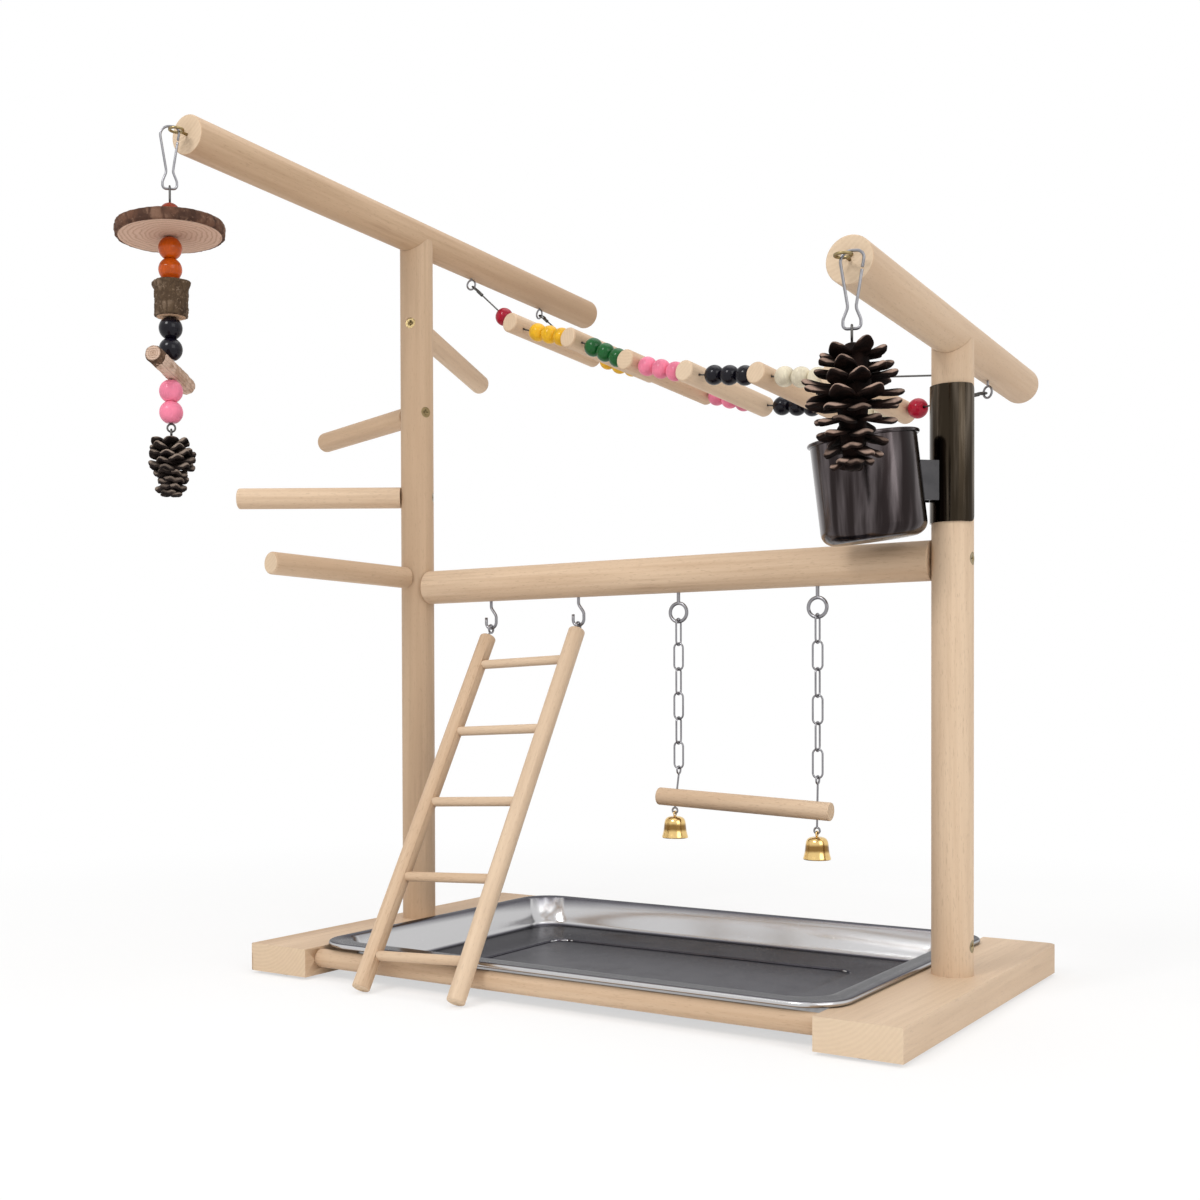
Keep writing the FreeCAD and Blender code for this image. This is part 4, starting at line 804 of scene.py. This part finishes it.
def node_mesh(node: bpy.types.Object, seed: int = 3) -> bmesh.types.BMesh:
    """Merged copy of a node's mesh, with a seeded tone on each loose part.

    Args:
        node: The node's object, which is left alone.
        seed: Start of the tones.

    Returns:
        The copy.
    """
    bm = bmesh.new()
    bm.from_mesh(node.data)
    bmesh.ops.remove_doubles(bm, verts=bm.verts, dist=2e-7)
    bmesh.ops.dissolve_degenerate(bm, edges=bm.edges, dist=1e-7)
    tone = bm.verts.layers.float.new("tone")
    picks = random.Random(seed)
    for part in islands(bm):
        shade = picks.random()
        for vert in part:
            vert[tone] = shade
    return bm


@dataclass
class Assembly:
    """Shared way in which a sub-assembly dresses what the frame already shapes."""

    nodes: dict[str, bpy.types.Object]
    body: str

    def smooth(
        self, node: str, slot: str, material: bpy.types.Material, angle: float = 32.0, seed: int = 3
    ) -> None:
        """Stands a smooth merged copy in for a node.

        Args:
            node: Name of the node.
            slot: Name of its material slot; not used.
            material: Its finish.
            angle: Sharpest smooth edge, in degrees.
            seed: Start of the tones of its loose parts.
        """
        piece = to_piece(node + "_piece", node_mesh(self.nodes[node], seed), [material], angle)
        evened = piece.modifiers.new("even_shading", "WEIGHTED_NORMAL")
        evened.keep_sharp = True
        register(piece, self.body, [node])

    def timber(self, node: str, seed: int, shade: BeechShade = BeechShade.COMMON) -> None:
        """Dresses a wooden node, with the grain along its longest direction.

        Args:
            node: Name of the node.
            seed: Start of its tones and of its grain.
            shade: Its colours.
        """
        bm = node_mesh(self.nodes[node], seed)
        part = max(islands(bm), key=len)
        way = long_way(part)
        bm.free()
        finish = BeechFinish(middle(node), way, seed * 0.37, *shade.value)
        self.smooth(node, "beech", finish.make("beech_" + node), seed=seed)


# ------------------------------------------------------------------ sub-assemblies
@dataclass
class TimberFrame(Assembly):
    """Boards, rails, posts, perches, pegs and their fasteners."""

    wooden: tuple[str, ...] = (
        "left_board", "right_board", "front_rail", "rear_rail", "left_post", "right_post",
        "crossbar", "left_perch", "right_perch", "top_peg", "upper_peg", "middle_peg", "lower_peg",
    )
    browner: tuple[str, ...] = ("left_post", "left_perch", "upper_peg")

    def build(self) -> None:
        """Dresses the frame's wood, feet, screws and eyes."""
        for seed, node in enumerate(self.wooden, 1):
            self.timber(node, seed, BeechShade.BROWNER if node in self.browner else BeechShade.COMMON)
        brass = MetalFinish(Metal.BRASS).make("brass_fastener")
        for node in ("frame_screws", "post_side_screw", "perch_eyes"):
            self.smooth(node, "brass_screw", brass)
        nickel = MetalFinish(Metal.NICKEL).make("nickel_fitting")
        for node in ("bridge_eyes", "ladder_hooks", "swing_eyes"):
            self.smooth(node, "nickel_wire", nickel)
        self.smooth("board_feet", "rubber", RubberFinish().make("foot_rubber"))


@dataclass
class Ladder(Assembly):
    """Two rails, five rungs and the eyes they hang by."""

    def build(self) -> None:
        """Dresses the ladder."""
        for seed, node in enumerate(("ladder_left_rail", "ladder_right_rail", "ladder_rungs"), 21):
            self.timber(node, seed)
        self.smooth("ladder_eyes", "nickel_wire", MetalFinish(Metal.NICKEL).make("ladder_eye_metal"))


@dataclass
class Swing(Assembly):
    """Perch, its wires and the two chains."""

    def build(self) -> None:
        """Dresses the swing."""
        self.timber("swing_perch", 31, BeechShade.PALER)
        nickel = MetalFinish(Metal.NICKEL).make("chain_metal")
        for node in ("swing_left_chain", "swing_right_chain", "swing_wires"):
            self.smooth(node, "nickel_wire", nickel)


@dataclass
class Bell(Assembly):
    """Small gilt bell with a round shoulder, a rolled lip and a ring on its crown."""

    height: float = 15.0 * MM
    reflection_band_drop: float = 7.4 * MM
    ring_reach: float = 1.7 * MM
    ring_wire: float = 0.5 * MM
    wall: tuple[tuple[float, float], ...] = (
        (0.0, 0.0), (3.2, -0.1), (5.2, -0.7), (6.6, -2.0), (7.25, -4.0), (7.55, -7.5), (7.9, -10.5),
        (8.55, -12.8), (8.95, -14.0), (8.9, -14.7), (8.4, -15.0), (8.0, -14.6), (7.6, -12.6),
        (6.95, -9.5), (6.6, -6.0), (6.2, -3.6), (5.2, -1.9), (3.0, -1.1), (0.0, -1.0),
    )

    def build(self) -> None:
        """Turns the bell's shell and its ring as one piece."""
        top = top_of(self.body)
        crown = Vector((top.x, top.y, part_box(self.body)[0].z + self.height))
        bm = spun([(r * MM, z * MM) for r, z in self.wall], 48, False)
        bm.transform(Matrix.Translation(crown))
        turns = [math.tau * i / 12 for i in range(12)]
        line = [
            (self.ring_reach + self.ring_wire * math.cos(t), self.ring_wire * math.sin(t)) for t in turns
        ]
        ring = spun(line, 24)
        heart = crown + Z_WAY * (top.z - crown.z - self.ring_reach - self.ring_wire)
        ring.transform(facing_way(Vector((1.0, 0.0, 0.0)), heart))
        add_mesh(bm, ring)
        # The gilt's dark band, this far below the crown, is a painted reflection.
        gilt = GiltFinish(crown.z - self.reflection_band_drop).make(self.body + "_gilt")
        piece = round_off(to_piece(self.body + "_piece", bm, [gilt], 60.0))
        register(piece, self.body, [self.body])


@dataclass
class Clapper(Assembly):
    """Gilt ball on its wire."""

    def build(self) -> None:
        """Dresses the clapper."""
        gold = MetalFinish(Metal.GOLD).make(self.body + "_gilt")
        self.smooth(self.body, "bell_gold", gold, 38.0)


@dataclass
class Tray(Assembly):
    """Polished pan that slides under the stand."""

    def build(self) -> None:
        """Dresses the tray."""
        # The pan's walls are painted brighter than its floor, as a painted reflection.
        steel = MetalFinish(Metal.PAN, Vector((1.0, 0.0, 0.0)), wall=(0.56, 0.555, 0.56)).make("tray_steel")
        self.smooth("tray", "stainless", steel, 50.0)


@dataclass
class FeedCup(Assembly):
    """Cup, bracket and spring sleeve."""

    def build(self) -> None:
        """Dresses the cup's three nodes."""
        finishes = (("feed_cup", Metal.CUP), ("cup_bracket", Metal.BRACKET), ("cup_clip", Metal.CLIP))
        for node, kind in finishes:
            steel = MetalFinish(kind, centre=middle(node)).make(node + "_metal")
            self.smooth(node, "stainless", steel, 40.0)


@dataclass
class SnapHook(Assembly):
    """Bent wire hook."""

    def build(self) -> None:
        """Dresses the hook."""
        nickel = MetalFinish(Metal.NICKEL).make(self.body + "_metal")
        self.smooth(self.body.replace("hook", "snap_hook"), "nickel_wire", nickel)


@dataclass
class BeadMaker:
    """Turned wooden beads with eased hole edges."""

    diameter: float
    height: float
    bore: float
    lip: float = 0.5 * MM
    steps: int = 36
    rings: int = 14

    def profile(self) -> list[tuple[float, float]]:
        """Works out the bead's wall.

        Returns:
            Radius and height of each point, from the foot of the bore outwards and up.
        """
        half, belly, inner = self.height / 2, self.diameter / 2, self.bore + self.lip * 0.4
        end = math.sqrt(max(belly * belly - half * half, (self.bore + self.lip) ** 2))
        limit = math.atan2(half, end)
        points = [(self.bore, -half + self.lip), (inner, -half + self.lip * 0.25)]
        points.append((self.bore + self.lip, -half))
        for index in range(self.rings + 1):
            angle = -limit + 2 * limit * index / self.rings
            points.append((belly * math.cos(angle), belly * math.sin(angle)))
        points.append((self.bore + self.lip, half))
        points += [(inner, half - self.lip * 0.25), (self.bore, half - self.lip)]
        return points

    def string(
        self, name: str, places: Sequence[tuple[Vector, Vector]], material: bpy.types.Material
    ) -> bpy.types.Object:
        """Turns a run of beads as one piece.

        Args:
            name: Name of the piece, which starts its tones.
            places: Centre and direction of each bead.
            material: Their finish.

        Returns:
            The piece.
        """
        whole = bmesh.new()
        tone = whole.verts.layers.float.new("tone")
        picks = random.Random(name)
        for centre, way in places:
            bead = spun(self.profile(), self.steps)
            bead.transform(facing_way(way, centre))
            before = len(whole.verts)
            add_mesh(whole, bead)
            whole.verts.ensure_lookup_table()
            shade = picks.random()
            for vert in whole.verts[before:]:
                vert[tone] = shade
        return to_piece(name, whole, [material], 50.0)


@dataclass
class PineCone:
    """Open cone hung by its base, with rings of woody scales."""

    top: Vector
    length: float
    width: float
    rows: int
    in_row: int
    scale_w: float
    scale_t: float
    seed: int
    waist: tuple[tuple[float, float], ...] = (
        (0.0, 0.62), (0.15, 0.84), (0.32, 1.0), (0.48, 0.98), (0.62, 0.80), (0.80, 0.62), (1.0, 0.32),
    )
    finish: ConeFinish = field(default_factory=ConeFinish)
    top_lift: float = 15.0
    lift_fall: float = 48.0
    sway: tuple[float, float, float] = (9.0, 10.0, 16.0)
    reaches: tuple[float, float] = (0.84, 0.99)
    widths: tuple[float, float] = (0.92, 1.08)

    def reach_share(self, share: float) -> float:
        """Reach of the scales down the cone, as a share of the widest."""
        return float(np.interp(share, *zip(*self.waist)))

    def core(self) -> bmesh.types.BMesh:
        """Turns the tapering core.

        Returns:
            Its mesh, hung from the origin.
        """
        r, low = self.width * 0.17, -self.length
        line = [(0, -0.2 * MM), (r * 0.4, -0.8 * MM), (r * 0.85, low * 0.10), (r, low * 0.3)]
        line += [(r * 0.45, low + MM), (0, low + 0.3 * MM)]
        return spun(divided(line, 3 * MM), 20, False)

    @staticmethod
    def outline(along: float) -> float:
        """Works out a scale's outline.

        Args:
            along: Share of the scale's length.

        Returns:
            Half width there, as a share of the widest.
        """
        if along < 0.70:
            return 0.42 + 0.58 * math.sin(math.pi / 2 * along / 0.70)
        return max(0.45, math.sqrt(max(0.0, 1.0 - ((along - 0.70) / 0.345) ** 2)))

    def add_scale(
        self, bm: bmesh.types.BMesh, placement: Matrix, length: float, width: float, shade: float
    ) -> None:
        """Adds one woody tongue: cambered, thick at the tip, with a ridge on its end.

        Args:
            bm: Mesh that takes the scale.
            placement: Where it grows and which way it points.
            length: Its length.
            width: Its greatest width.
            shade: Its tone.
        """
        tip, tone = bm.verts.layers.float["tip"], bm.verts.layers.float["tone"]
        made = bmesh.ops.create_grid(bm, x_segments=6, y_segments=4, size=0.5)["verts"]
        for vert in made:
            along, side = vert.co.x + 0.5, vert.co.y * 2
            vert[tip] = max(along, 0.35 + 0.65 * abs(side) * along)
            half = width / 2 * self.outline(along)
            ridge = math.exp(-(((along - 0.84) / 0.12) ** 2) - (side / 0.4) ** 2)
            vert.co = Vector((
                length * along * (1.0 - 0.10 * side * side * along),
                half * side,
                self.scale_t * (0.42 - 0.40 * side * side + 0.30 * ridge) + 0.06 * length * along**3,
            ))
        faces = faces_of(made)
        grown = bmesh.ops.solidify(bm, geom=faces, thickness=self.scale_t * 0.55)["geom"]
        under = [item for item in grown if isinstance(item, bmesh.types.BMVert) and item not in made]
        for vert in under:
            share = min(1.0, max(0.0, vert.co.x / length))
            vert[tip] = 0.55 * share
            vert.co.z -= self.scale_t * 0.30 * share * share
        both = made + under
        for vert in both:
            vert[tone] = shade
        bmesh.ops.transform(bm, matrix=placement, verts=both)

    def add_row(self, bm: bmesh.types.BMesh, row: int, picks: random.Random) -> None:
        """Adds one ring of scales.

        Args:
            bm: Mesh that takes the scales.
            row: Number of the ring, from the top.
            picks: Source of their differences.
        """
        share = (row + 0.5) / self.rows
        reach_share = self.reach_share(share)
        for index in range(self.in_row):
            reach = self.width / 2 * reach_share * picks.uniform(*self.reaches)
            lift, turn, roll = (picks.uniform(-most, most) for most in self.sway)
            lift += self.top_lift - self.lift_fall * share
            turn += 360.0 * (index + 0.5 * (row % 2)) / self.in_row
            drop = self.length * (0.035 + 0.875 * share) + reach * 0.2 * (lift > 0)
            placement = turned(Z_WAY * -drop, (turn, "Z"), (-lift, "Y"), (roll, "X"))
            length = reach / math.cos(math.radians(lift))
            width = self.scale_w * (0.55 + 0.45 * reach_share) * picks.uniform(*self.widths)
            self.add_scale(bm, placement, length, width, picks.random())

    def hold_in(self, vert: bmesh.types.BMVert) -> None:
        """Keeps a vertex within the cone's width and length.

        Args:
            vert: The vertex.
        """
        over = math.hypot(vert.co.x, vert.co.y) / (self.width / 2)
        if over > 1.0:
            vert.co.x /= over
            vert.co.y /= over
        vert.co.z = min(-0.05 * MM, max(-self.length, vert.co.z))

    def build(self, name: str) -> bpy.types.Object:
        """Builds the whole cone as one piece.

        Args:
            name: Name of the piece.

        Returns:
            The piece.
        """
        bm = self.core()
        bm.verts.layers.float.new("tip")
        bm.verts.layers.float.new("tone")
        picks = random.Random(self.seed)
        for row in range(self.rows):
            self.add_row(bm, row, picks)
        for vert in bm.verts:
            self.hold_in(vert)
        bmesh.ops.recalc_face_normals(bm, faces=bm.faces)
        bm.transform(Matrix.Translation(self.top))
        return round_off(to_piece(name, bm, [self.finish.make(name + "_scales")], 60.0))


@dataclass
class BranchSlice:
    """Length of branch with bark on its side and sawn ends."""

    centre: Vector
    way: Vector
    radius: float
    length: float
    bore: float
    bark: BarkFinish
    sawn: SawnFinish
    relief: float = 0.9 * MM
    bark_depth: float = 1.8 * MM
    step: float = 1.1 * MM
    turns: int = 120
    knots: tuple[tuple[float, float, float], ...] = ()
    flare: float = 0.0
    peel: Callable[[Vector], bool] | None = None

    def profile(self) -> list[tuple[float, float]]:
        """Works out the side and the two ends.

        Returns:
            Radius and height of each point, from the top of the bore outwards and down.
        """
        half, rim = self.length / 2, self.radius - self.bark_depth
        ease = min(1.0 * MM, self.length / 7)
        upper = [(self.bore, half), (rim, half), (self.radius - ease * 0.4, half - ease * 0.35)]
        side = [(self.radius, half - ease), (self.radius, -half + ease)]
        lower = [(self.radius - ease * 0.4, -half + ease * 0.35), (rim, -half), (self.bore, -half)]
        return divided(upper + side + lower, self.step)

    def roughen(self, vert: bmesh.types.BMVert) -> None:
        """Moves a vertex of the bark inwards, and the knots and the flared end back out.

        Args:
            vert: The vertex.
        """
        flat = Vector((vert.co.x, vert.co.y, 0.0))
        share = (flat.length - (self.radius - self.bark_depth)) / self.bark_depth
        if share <= 0.02:
            return
        spot = vert.co / MM
        slow = noise.fractal(spot * 0.07, 1.0, 2.0, 2)
        fast = noise.fractal(Vector((spot.x, spot.y, spot.z * 0.6)) * 0.38, 0.8, 2.1, 4)
        dent = self.relief * (0.55 - 0.5 * slow - 0.75 * fast)
        dent = max(0.0, min(self.bark_depth * 0.95, dent))
        for turn, height, size in self.knots:
            heart = Vector((math.cos(turn), math.sin(turn), 0.0)) * self.radius + Z_WAY * height
            dent -= size * math.exp(-((vert.co - heart).length / (size * 2.0)) ** 2)
        dent -= self.flare * max(0.0, vert.co.z / self.length * 2.0) ** 3
        vert.co -= flat.normalized() * dent * min(1.0, share * 1.2)

    def build(self, name: str) -> bpy.types.Object:
        """Builds the slice as one piece, with its bark and sawn wood.

        Args:
            name: Name of the piece.

        Returns:
            The piece.
        """
        bm = spun(self.profile(), self.turns)
        rim = self.radius - self.bark_depth * 0.9
        for face in bm.faces:
            spot = face.calc_center_median()
            face.material_index = 0 if math.hypot(spot.x, spot.y) > rim else 1
            if face.material_index == 0 and self.peel and self.peel(spot):
                face.material_index = 1
        for vert in bm.verts:
            self.roughen(vert)
        bm.transform(facing_way(self.way, self.centre))
        bm.normal_update()
        materials = [self.bark.make(name + "_bark"), self.sawn.make(name + "_sawn")]
        return to_piece(name, bm, materials, 70.0)


@dataclass
class LeftToy(Assembly):
    """Beads, bark disc, bark log, stick and small cone on one wire."""

    bead_d: float = 14.6 * MM
    bead_h: float = 13.0 * MM
    top_bead_d: float = 13.0 * MM
    top_bead_h: float = 12.5 * MM
    bore: float = 1.0 * MM
    disc_r: float = 33.9 * MM
    disc_t: float = 7.5 * MM
    disc_tilt: float = -2.5
    disc_pith: Place = (3.0 * MM, -2.0 * MM, 0.0)
    log_r: float = 10.75 * MM
    log_l: float = 22.4 * MM
    log_flare: float = 0.9 * MM
    knots: tuple[tuple[float, float, float], ...] = ((205, 0.93, 1.8), (25, 0.90, 2.0), (-75, 0.42, 1.2))
    stick_r: float = 5.6 * MM
    stick_l: float = 54.8 * MM
    stick_turn: float = -65.0
    stick_rise: float = 10.0
    bark_start: float = 19.5 * MM
    cone_l: float = 36.0 * MM
    cone_w: float = 33.3 * MM
    cone_waist: tuple[tuple[float, float], ...] = (
        (0.0, 0.70), (0.12, 0.95), (0.30, 1.0), (0.50, 0.92), (0.62, 0.68), (0.85, 0.60), (1.0, 0.36),
    )

    def wire(self) -> None:
        """Dresses the wire and the cone's eye."""
        dark = MetalFinish(Metal.DARK).make("toy_wire_metal")
        self.smooth("toy_wire", "dark_wire", dark)
        register(
            to_piece("small_cone_eye_piece", node_mesh(self.nodes["small_cone_eye"]), [dark], 32.0),
            "small_cone", ["small_cone_eye"],
        )

    def beads(self) -> None:
        """Builds the toy's beads."""
        groups = (
            ("top_bead", "orange_dye", Dye.DARK_ORANGE, 1, self.top_bead_d, self.top_bead_h),
            ("orange_beads", "orange_dye", Dye.ORANGE, 2, self.bead_d, self.bead_h),
            ("black_beads", "black_dye", Dye.BLACK, 2, self.bead_d, self.bead_h),
            ("pink_beads", "pink_dye", Dye.PINK, 2, self.bead_d, self.bead_h),
        )
        for node, slot, dye, count, diameter, height in groups:
            low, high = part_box(node)
            centre = (low + high) / 2
            spots = [low.z + (high.z - low.z) * (i + 0.5) / count for i in range(count)]
            places = [(Vector((centre.x, centre.y, spot)), Z_WAY) for spot in spots]
            maker = BeadMaker(diameter, height, self.bore)
            piece = maker.string(node + "_piece", places, DyedFinish(dye).make(node + "_dye"))
            register(piece, "toy_string", [node])

    def disc(self) -> None:
        """Builds the bark disc."""
        way = Matrix.Rotation(math.radians(self.disc_tilt), 3, "Y") @ Z_WAY
        centre = middle("bark_disc")
        sawn = SawnFinish(
            centre + Vector(self.disc_pith), way, reach=34.0 * MM,
            pale=(0.66, 0.445, 0.335), heart=(0.44, 0.255, 0.175), ring_gap=3.0 * MM,
        )
        bark = BarkFinish(
            dark=(0.030, 0.014, 0.010), plate=(0.150, 0.070, 0.042), dust=(0.26, 0.15, 0.10),
            scale=110.0, cracks=0.35,
        )
        disc = BranchSlice(
            centre, way, self.disc_r, self.disc_t, self.bore, bark, sawn,
            relief=0.8 * MM, bark_depth=2.4 * MM,
        )
        register(disc.build("bark_disc_piece"), "disc", ["bark_disc"])

    def log(self) -> None:
        """Builds the bark log with its knots."""
        centre = middle("bark_log")
        sawn = SawnFinish(centre, Z_WAY, reach=10.0 * MM, ring_gap=1.5 * MM)
        knots = tuple(
            (math.radians(turn), (share - 0.5) * 22.5 * MM, size * MM) for turn, share, size in self.knots
        )
        bark = BarkFinish(
            dark=(0.036, 0.020, 0.012), plate=(0.105, 0.066, 0.037), dust=(0.28, 0.20, 0.14),
            scale=210.0, cracks=0.35,
        )
        log = BranchSlice(
            centre, Z_WAY, self.log_r, self.log_l, self.bore, bark, sawn,
            relief=1.1 * MM, bark_depth=1.9 * MM, step=0.8 * MM, turns=72,
            knots=knots, flare=self.log_flare,
        )
        register(log.build("bark_log_piece"), "log", ["bark_log"])

    def stick(self) -> None:
        """Builds the stick, mostly peeled, with bark left near one end."""
        turn, rise = math.radians(self.stick_turn), math.radians(self.stick_rise)
        way = Vector((math.cos(turn) * math.cos(rise), math.sin(turn) * math.cos(rise), math.sin(rise)))
        centre = middle("toy_stick")

        def peeled(spot: Vector) -> bool:
            """True where the bark is gone."""
            ragged = noise.noise(spot / MM * 0.30) * 9.0 * MM
            return spot.z + ragged < self.bark_start

        sawn = SawnFinish(
            centre, way, reach=6.0 * MM,
            pale=(0.64, 0.465, 0.365), heart=(0.36, 0.215, 0.135), ring_gap=1.3 * MM,
        )
        bark = BarkFinish(
            dark=(0.05, 0.026, 0.015), plate=(0.155, 0.085, 0.048), dust=(0.32, 0.22, 0.15),
            scale=300.0, cracks=0.5,
        )
        stick = BranchSlice(
            centre, way, self.stick_r, self.stick_l, 0.0, bark, sawn,
            relief=0.5 * MM, bark_depth=0.9 * MM, step=0.9 * MM, turns=48, peel=peeled,
        )
        register(stick.build("toy_stick_piece"), "stick", ["toy_stick"])

    def cone(self) -> None:
        """Builds the small pine cone."""
        finish = ConeFinish(
            dark=(0.009, 0.006, 0.006), wood=(0.034, 0.024, 0.020), rim=(0.30, 0.235, 0.19), rim_share=0.9
        )
        cone = PineCone(
            top_of("small_pinecone"), self.cone_l, self.cone_w, rows=9, in_row=7,
            scale_w=11.5 * MM, scale_t=3.6 * MM, seed=5, waist=self.cone_waist, finish=finish,
        )
        register(cone.build("small_pinecone_piece"), "small_cone", ["small_pinecone"])

    def build(self) -> None:
        """Builds the whole toy."""
        self.wire()
        self.beads()
        self.disc()
        self.log()
        self.stick()
        self.cone()


@dataclass
class RightToy(Assembly):
    """Large pine cone and its long ring."""

    cone_l: float = 64.0 * MM
    cone_w: float = 54.8 * MM

    def build(self) -> None:
        """Builds the cone and dresses its ring."""
        self.smooth("large_cone_eye", "dark_wire", MetalFinish(Metal.DARK).make("cone_ring_metal"))
        cone = PineCone(
            top_of("large_pinecone"), self.cone_l, self.cone_w, rows=9, in_row=7,
            scale_w=13.0 * MM, scale_t=3.4 * MM, seed=11,
        )
        register(cone.build("large_pinecone_piece"), self.body, ["large_pinecone"])


@dataclass
class BeadBridge(Assembly):
    """Round bars and coloured beads on two strings."""

    bead_d: float = 14.2 * MM
    bead_h: float = 13.0 * MM
    bore: float = 1.0 * MM
    colours: tuple[tuple[str, Dye], ...] = (
        ("red", Dye.RED), ("yellow", Dye.YELLOW), ("green", Dye.GREEN),
        ("pink", Dye.PINK), ("black", Dye.BLACK), ("white", Dye.WHITE),
    )

    def places(self, node: str) -> list[tuple[Vector, Vector]]:
        """Finds a node's beads by the flat ends of its parts.

        Args:
            node: Name of the node.

        Returns:
            Centre and direction of each bead.
        """
        bm = node_mesh(self.nodes[node])
        found = []
        for part in islands(bm):
            areas: dict[tuple[float, ...], float] = {}
            for face in faces_of(part):
                key = tuple(round(c, 2) for c in face.normal)
                areas[key] = areas.get(key, 0.0) + face.calc_area()
            way = Vector(max(areas, key=areas.get)).normalized()
            heights = [vert.co.dot(way) for vert in part]
            top = max(heights)
            cap = [v.co for v, h in zip(part, heights) if top - h < 0.02 * MM]
            hub = sum(cap, Vector()) / len(cap)
            found.append((hub - way * (top - min(heights)) / 2, way))
        bm.free()
        return found

    def build(self) -> None:
        """Builds the beads and dresses the bars and strings."""
        self.timber("bridge_bars", 41)
        dark = MetalFinish(Metal.DARK).make("bridge_string_metal")
        for node in ("bridge_front_wire", "bridge_rear_wire"):
            self.smooth(node, "dark_wire", dark)
        for colour, dye in self.colours:
            node = "bridge_%s_beads" % colour
            maker = BeadMaker(self.bead_d, self.bead_h, self.bore)
            finish = DyedFinish(dye).make(node + "_dye")
            piece = maker.string(node + "_piece", self.places(node), finish)
            register(piece, self.body, [node])


# ------------------------------------------------------------------ studio
@dataclass
class Studio:
    """Camera, floor, lamps and backdrop."""

    heart: Vector
    eye: Vector = field(default_factory=lambda: Vector((0.49443, -0.88292, 0.195)))
    yaw: float = 34.43
    pitch: float = -0.77
    roll: float = -0.2
    lens: float = 43.82
    sensor: float = 36.0
    clip: tuple[float, float] = (0.05, 50.0)
    shift: tuple[float, float] = (0.0651, 0.092)
    floor_reach: float = 6.0
    floor_colour: Colour = (0.985, 0.985, 0.985)
    floor_share: float = 0.60
    fade: tuple[float, float] = (0.28, 0.95)
    sky: Colour = (1.0, 0.99, 0.98)
    sky_strength: float = 0.56
    aim_height: float = 0.25
    lamps: tuple[tuple[str, Place, float, float], ...] = (
        ("key_lamp", (-0.2, -1.8, 1.7), 0.65, 17.5),
        ("fill_lamp", (2.1, -0.9, 1.3), 1.4, 12.5),
        ("top_lamp", (0.2, 0.4, 2.2), 1.6, 12.0),
    )

    def camera(self) -> None:
        """Adds the camera at the photograph's angle."""
        data = bpy.data.cameras.new("camera")
        data.lens, data.sensor_width = self.lens, self.sensor
        data.shift_x, data.shift_y = self.shift
        data.clip_start, data.clip_end = self.clip
        camera = bpy.data.objects.new("camera", data)
        bpy.context.scene.collection.objects.link(camera)
        turns = ((self.yaw, "Z"), (90 + self.pitch, "X"), (self.roll, "Z"))
        camera.matrix_world = turned(self.heart + self.eye, *turns)
        bpy.context.scene.camera = camera

    def floor(self) -> None:
        """Adds the plain pale floor, which keeps the shadow."""
        bm = bmesh.new()
        bmesh.ops.create_grid(bm, x_segments=1, y_segments=1, size=self.floor_reach)
        material = bpy.data.materials.new("floor")
        g = Graph(material)
        g.dress(Base_Color=self.floor_colour, Roughness=0.9, Specular_IOR_Level=0.0)
        reach = g.read("ShaderNodeVectorMath", {"operation": "LENGTH"}, {0: g.place()}, "Value")
        spread = g.read(
            "ShaderNodeMapRange",
            {"interpolation_type": "SMOOTHSTEP"},
            {"Value": reach, "From Min": self.fade[0], "From Max": self.fade[1], "To Min": self.floor_share},
        )
        g.blend(g.seen() * spread, "ShaderNodeEmission", "Material Output")
        to_piece("floor", bm, [material])

    def world(self) -> None:
        """White background for what is seen, and even light on the object."""
        world = bpy.data.worlds.new("studio")
        bpy.context.scene.world = world
        g = Graph(world, "Background")
        g.dress(Color=self.sky, Strength=self.sky_strength)
        g.blend(g.seen(), "ShaderNodeBackground", "World Output", Color=(1.0, 1.0, 1.0))

    def lamp(self, name: str, place: Place, size: float, watts: float) -> None:
        """Adds a soft square lamp that points at the middle of the stand.

        Args:
            name: Name of the lamp.
            place: Where it stands, from the heart of the stand.
            size: Its side in metres.
            watts: Its power.
        """
        data = bpy.data.lights.new(name, "AREA")
        data.shape, data.size, data.energy = "SQUARE", size, watts
        lamp = bpy.data.objects.new(name, data)
        bpy.context.scene.collection.objects.link(lamp)
        lamp.location = self.heart + Vector(place)
        aim = Z_WAY * self.aim_height - Vector(place)
        lamp.rotation_euler = aim.to_track_quat("-Z", "Y").to_euler()

    def build(self) -> None:
        """Sets the whole studio up."""
        bpy.context.scene.view_settings.view_transform = "Standard"
        self.camera()
        self.floor()
        self.world()
        for name, place, size, watts in self.lamps:
            self.lamp(name, place, size, watts)


def main() -> None:
    """Builds every sub-assembly in order."""
    logging.basicConfig(level=logging.INFO, format="%(name)s: %(message)s")
    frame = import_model()
    heart = (middle("left_post") + middle("right_post")) / 2
    Studio(Vector((heart.x, heart.y, 0.0))).build()
    nodes = frame["nodes"]
    parts = [
        TimberFrame(nodes, "stand"), BeadBridge(nodes, "stand"), Ladder(nodes, "ladder"),
        Swing(nodes, "swing"), Tray(nodes, "tray"), FeedCup(nodes, "cup"),
        SnapHook(nodes, "left_hook"), SnapHook(nodes, "right_hook"),
        LeftToy(nodes, "toy_string"), RightToy(nodes, "large_cone"),
    ]
    parts += [Bell(nodes, side + "_bell") for side in ("left", "right")]
    parts += [Clapper(nodes, side + "_clapper") for side in ("left", "right")]
    for part in parts:
        LOG.info("building %s", type(part).__name__)
        part.build()


if __name__ == "__main__":
    main()
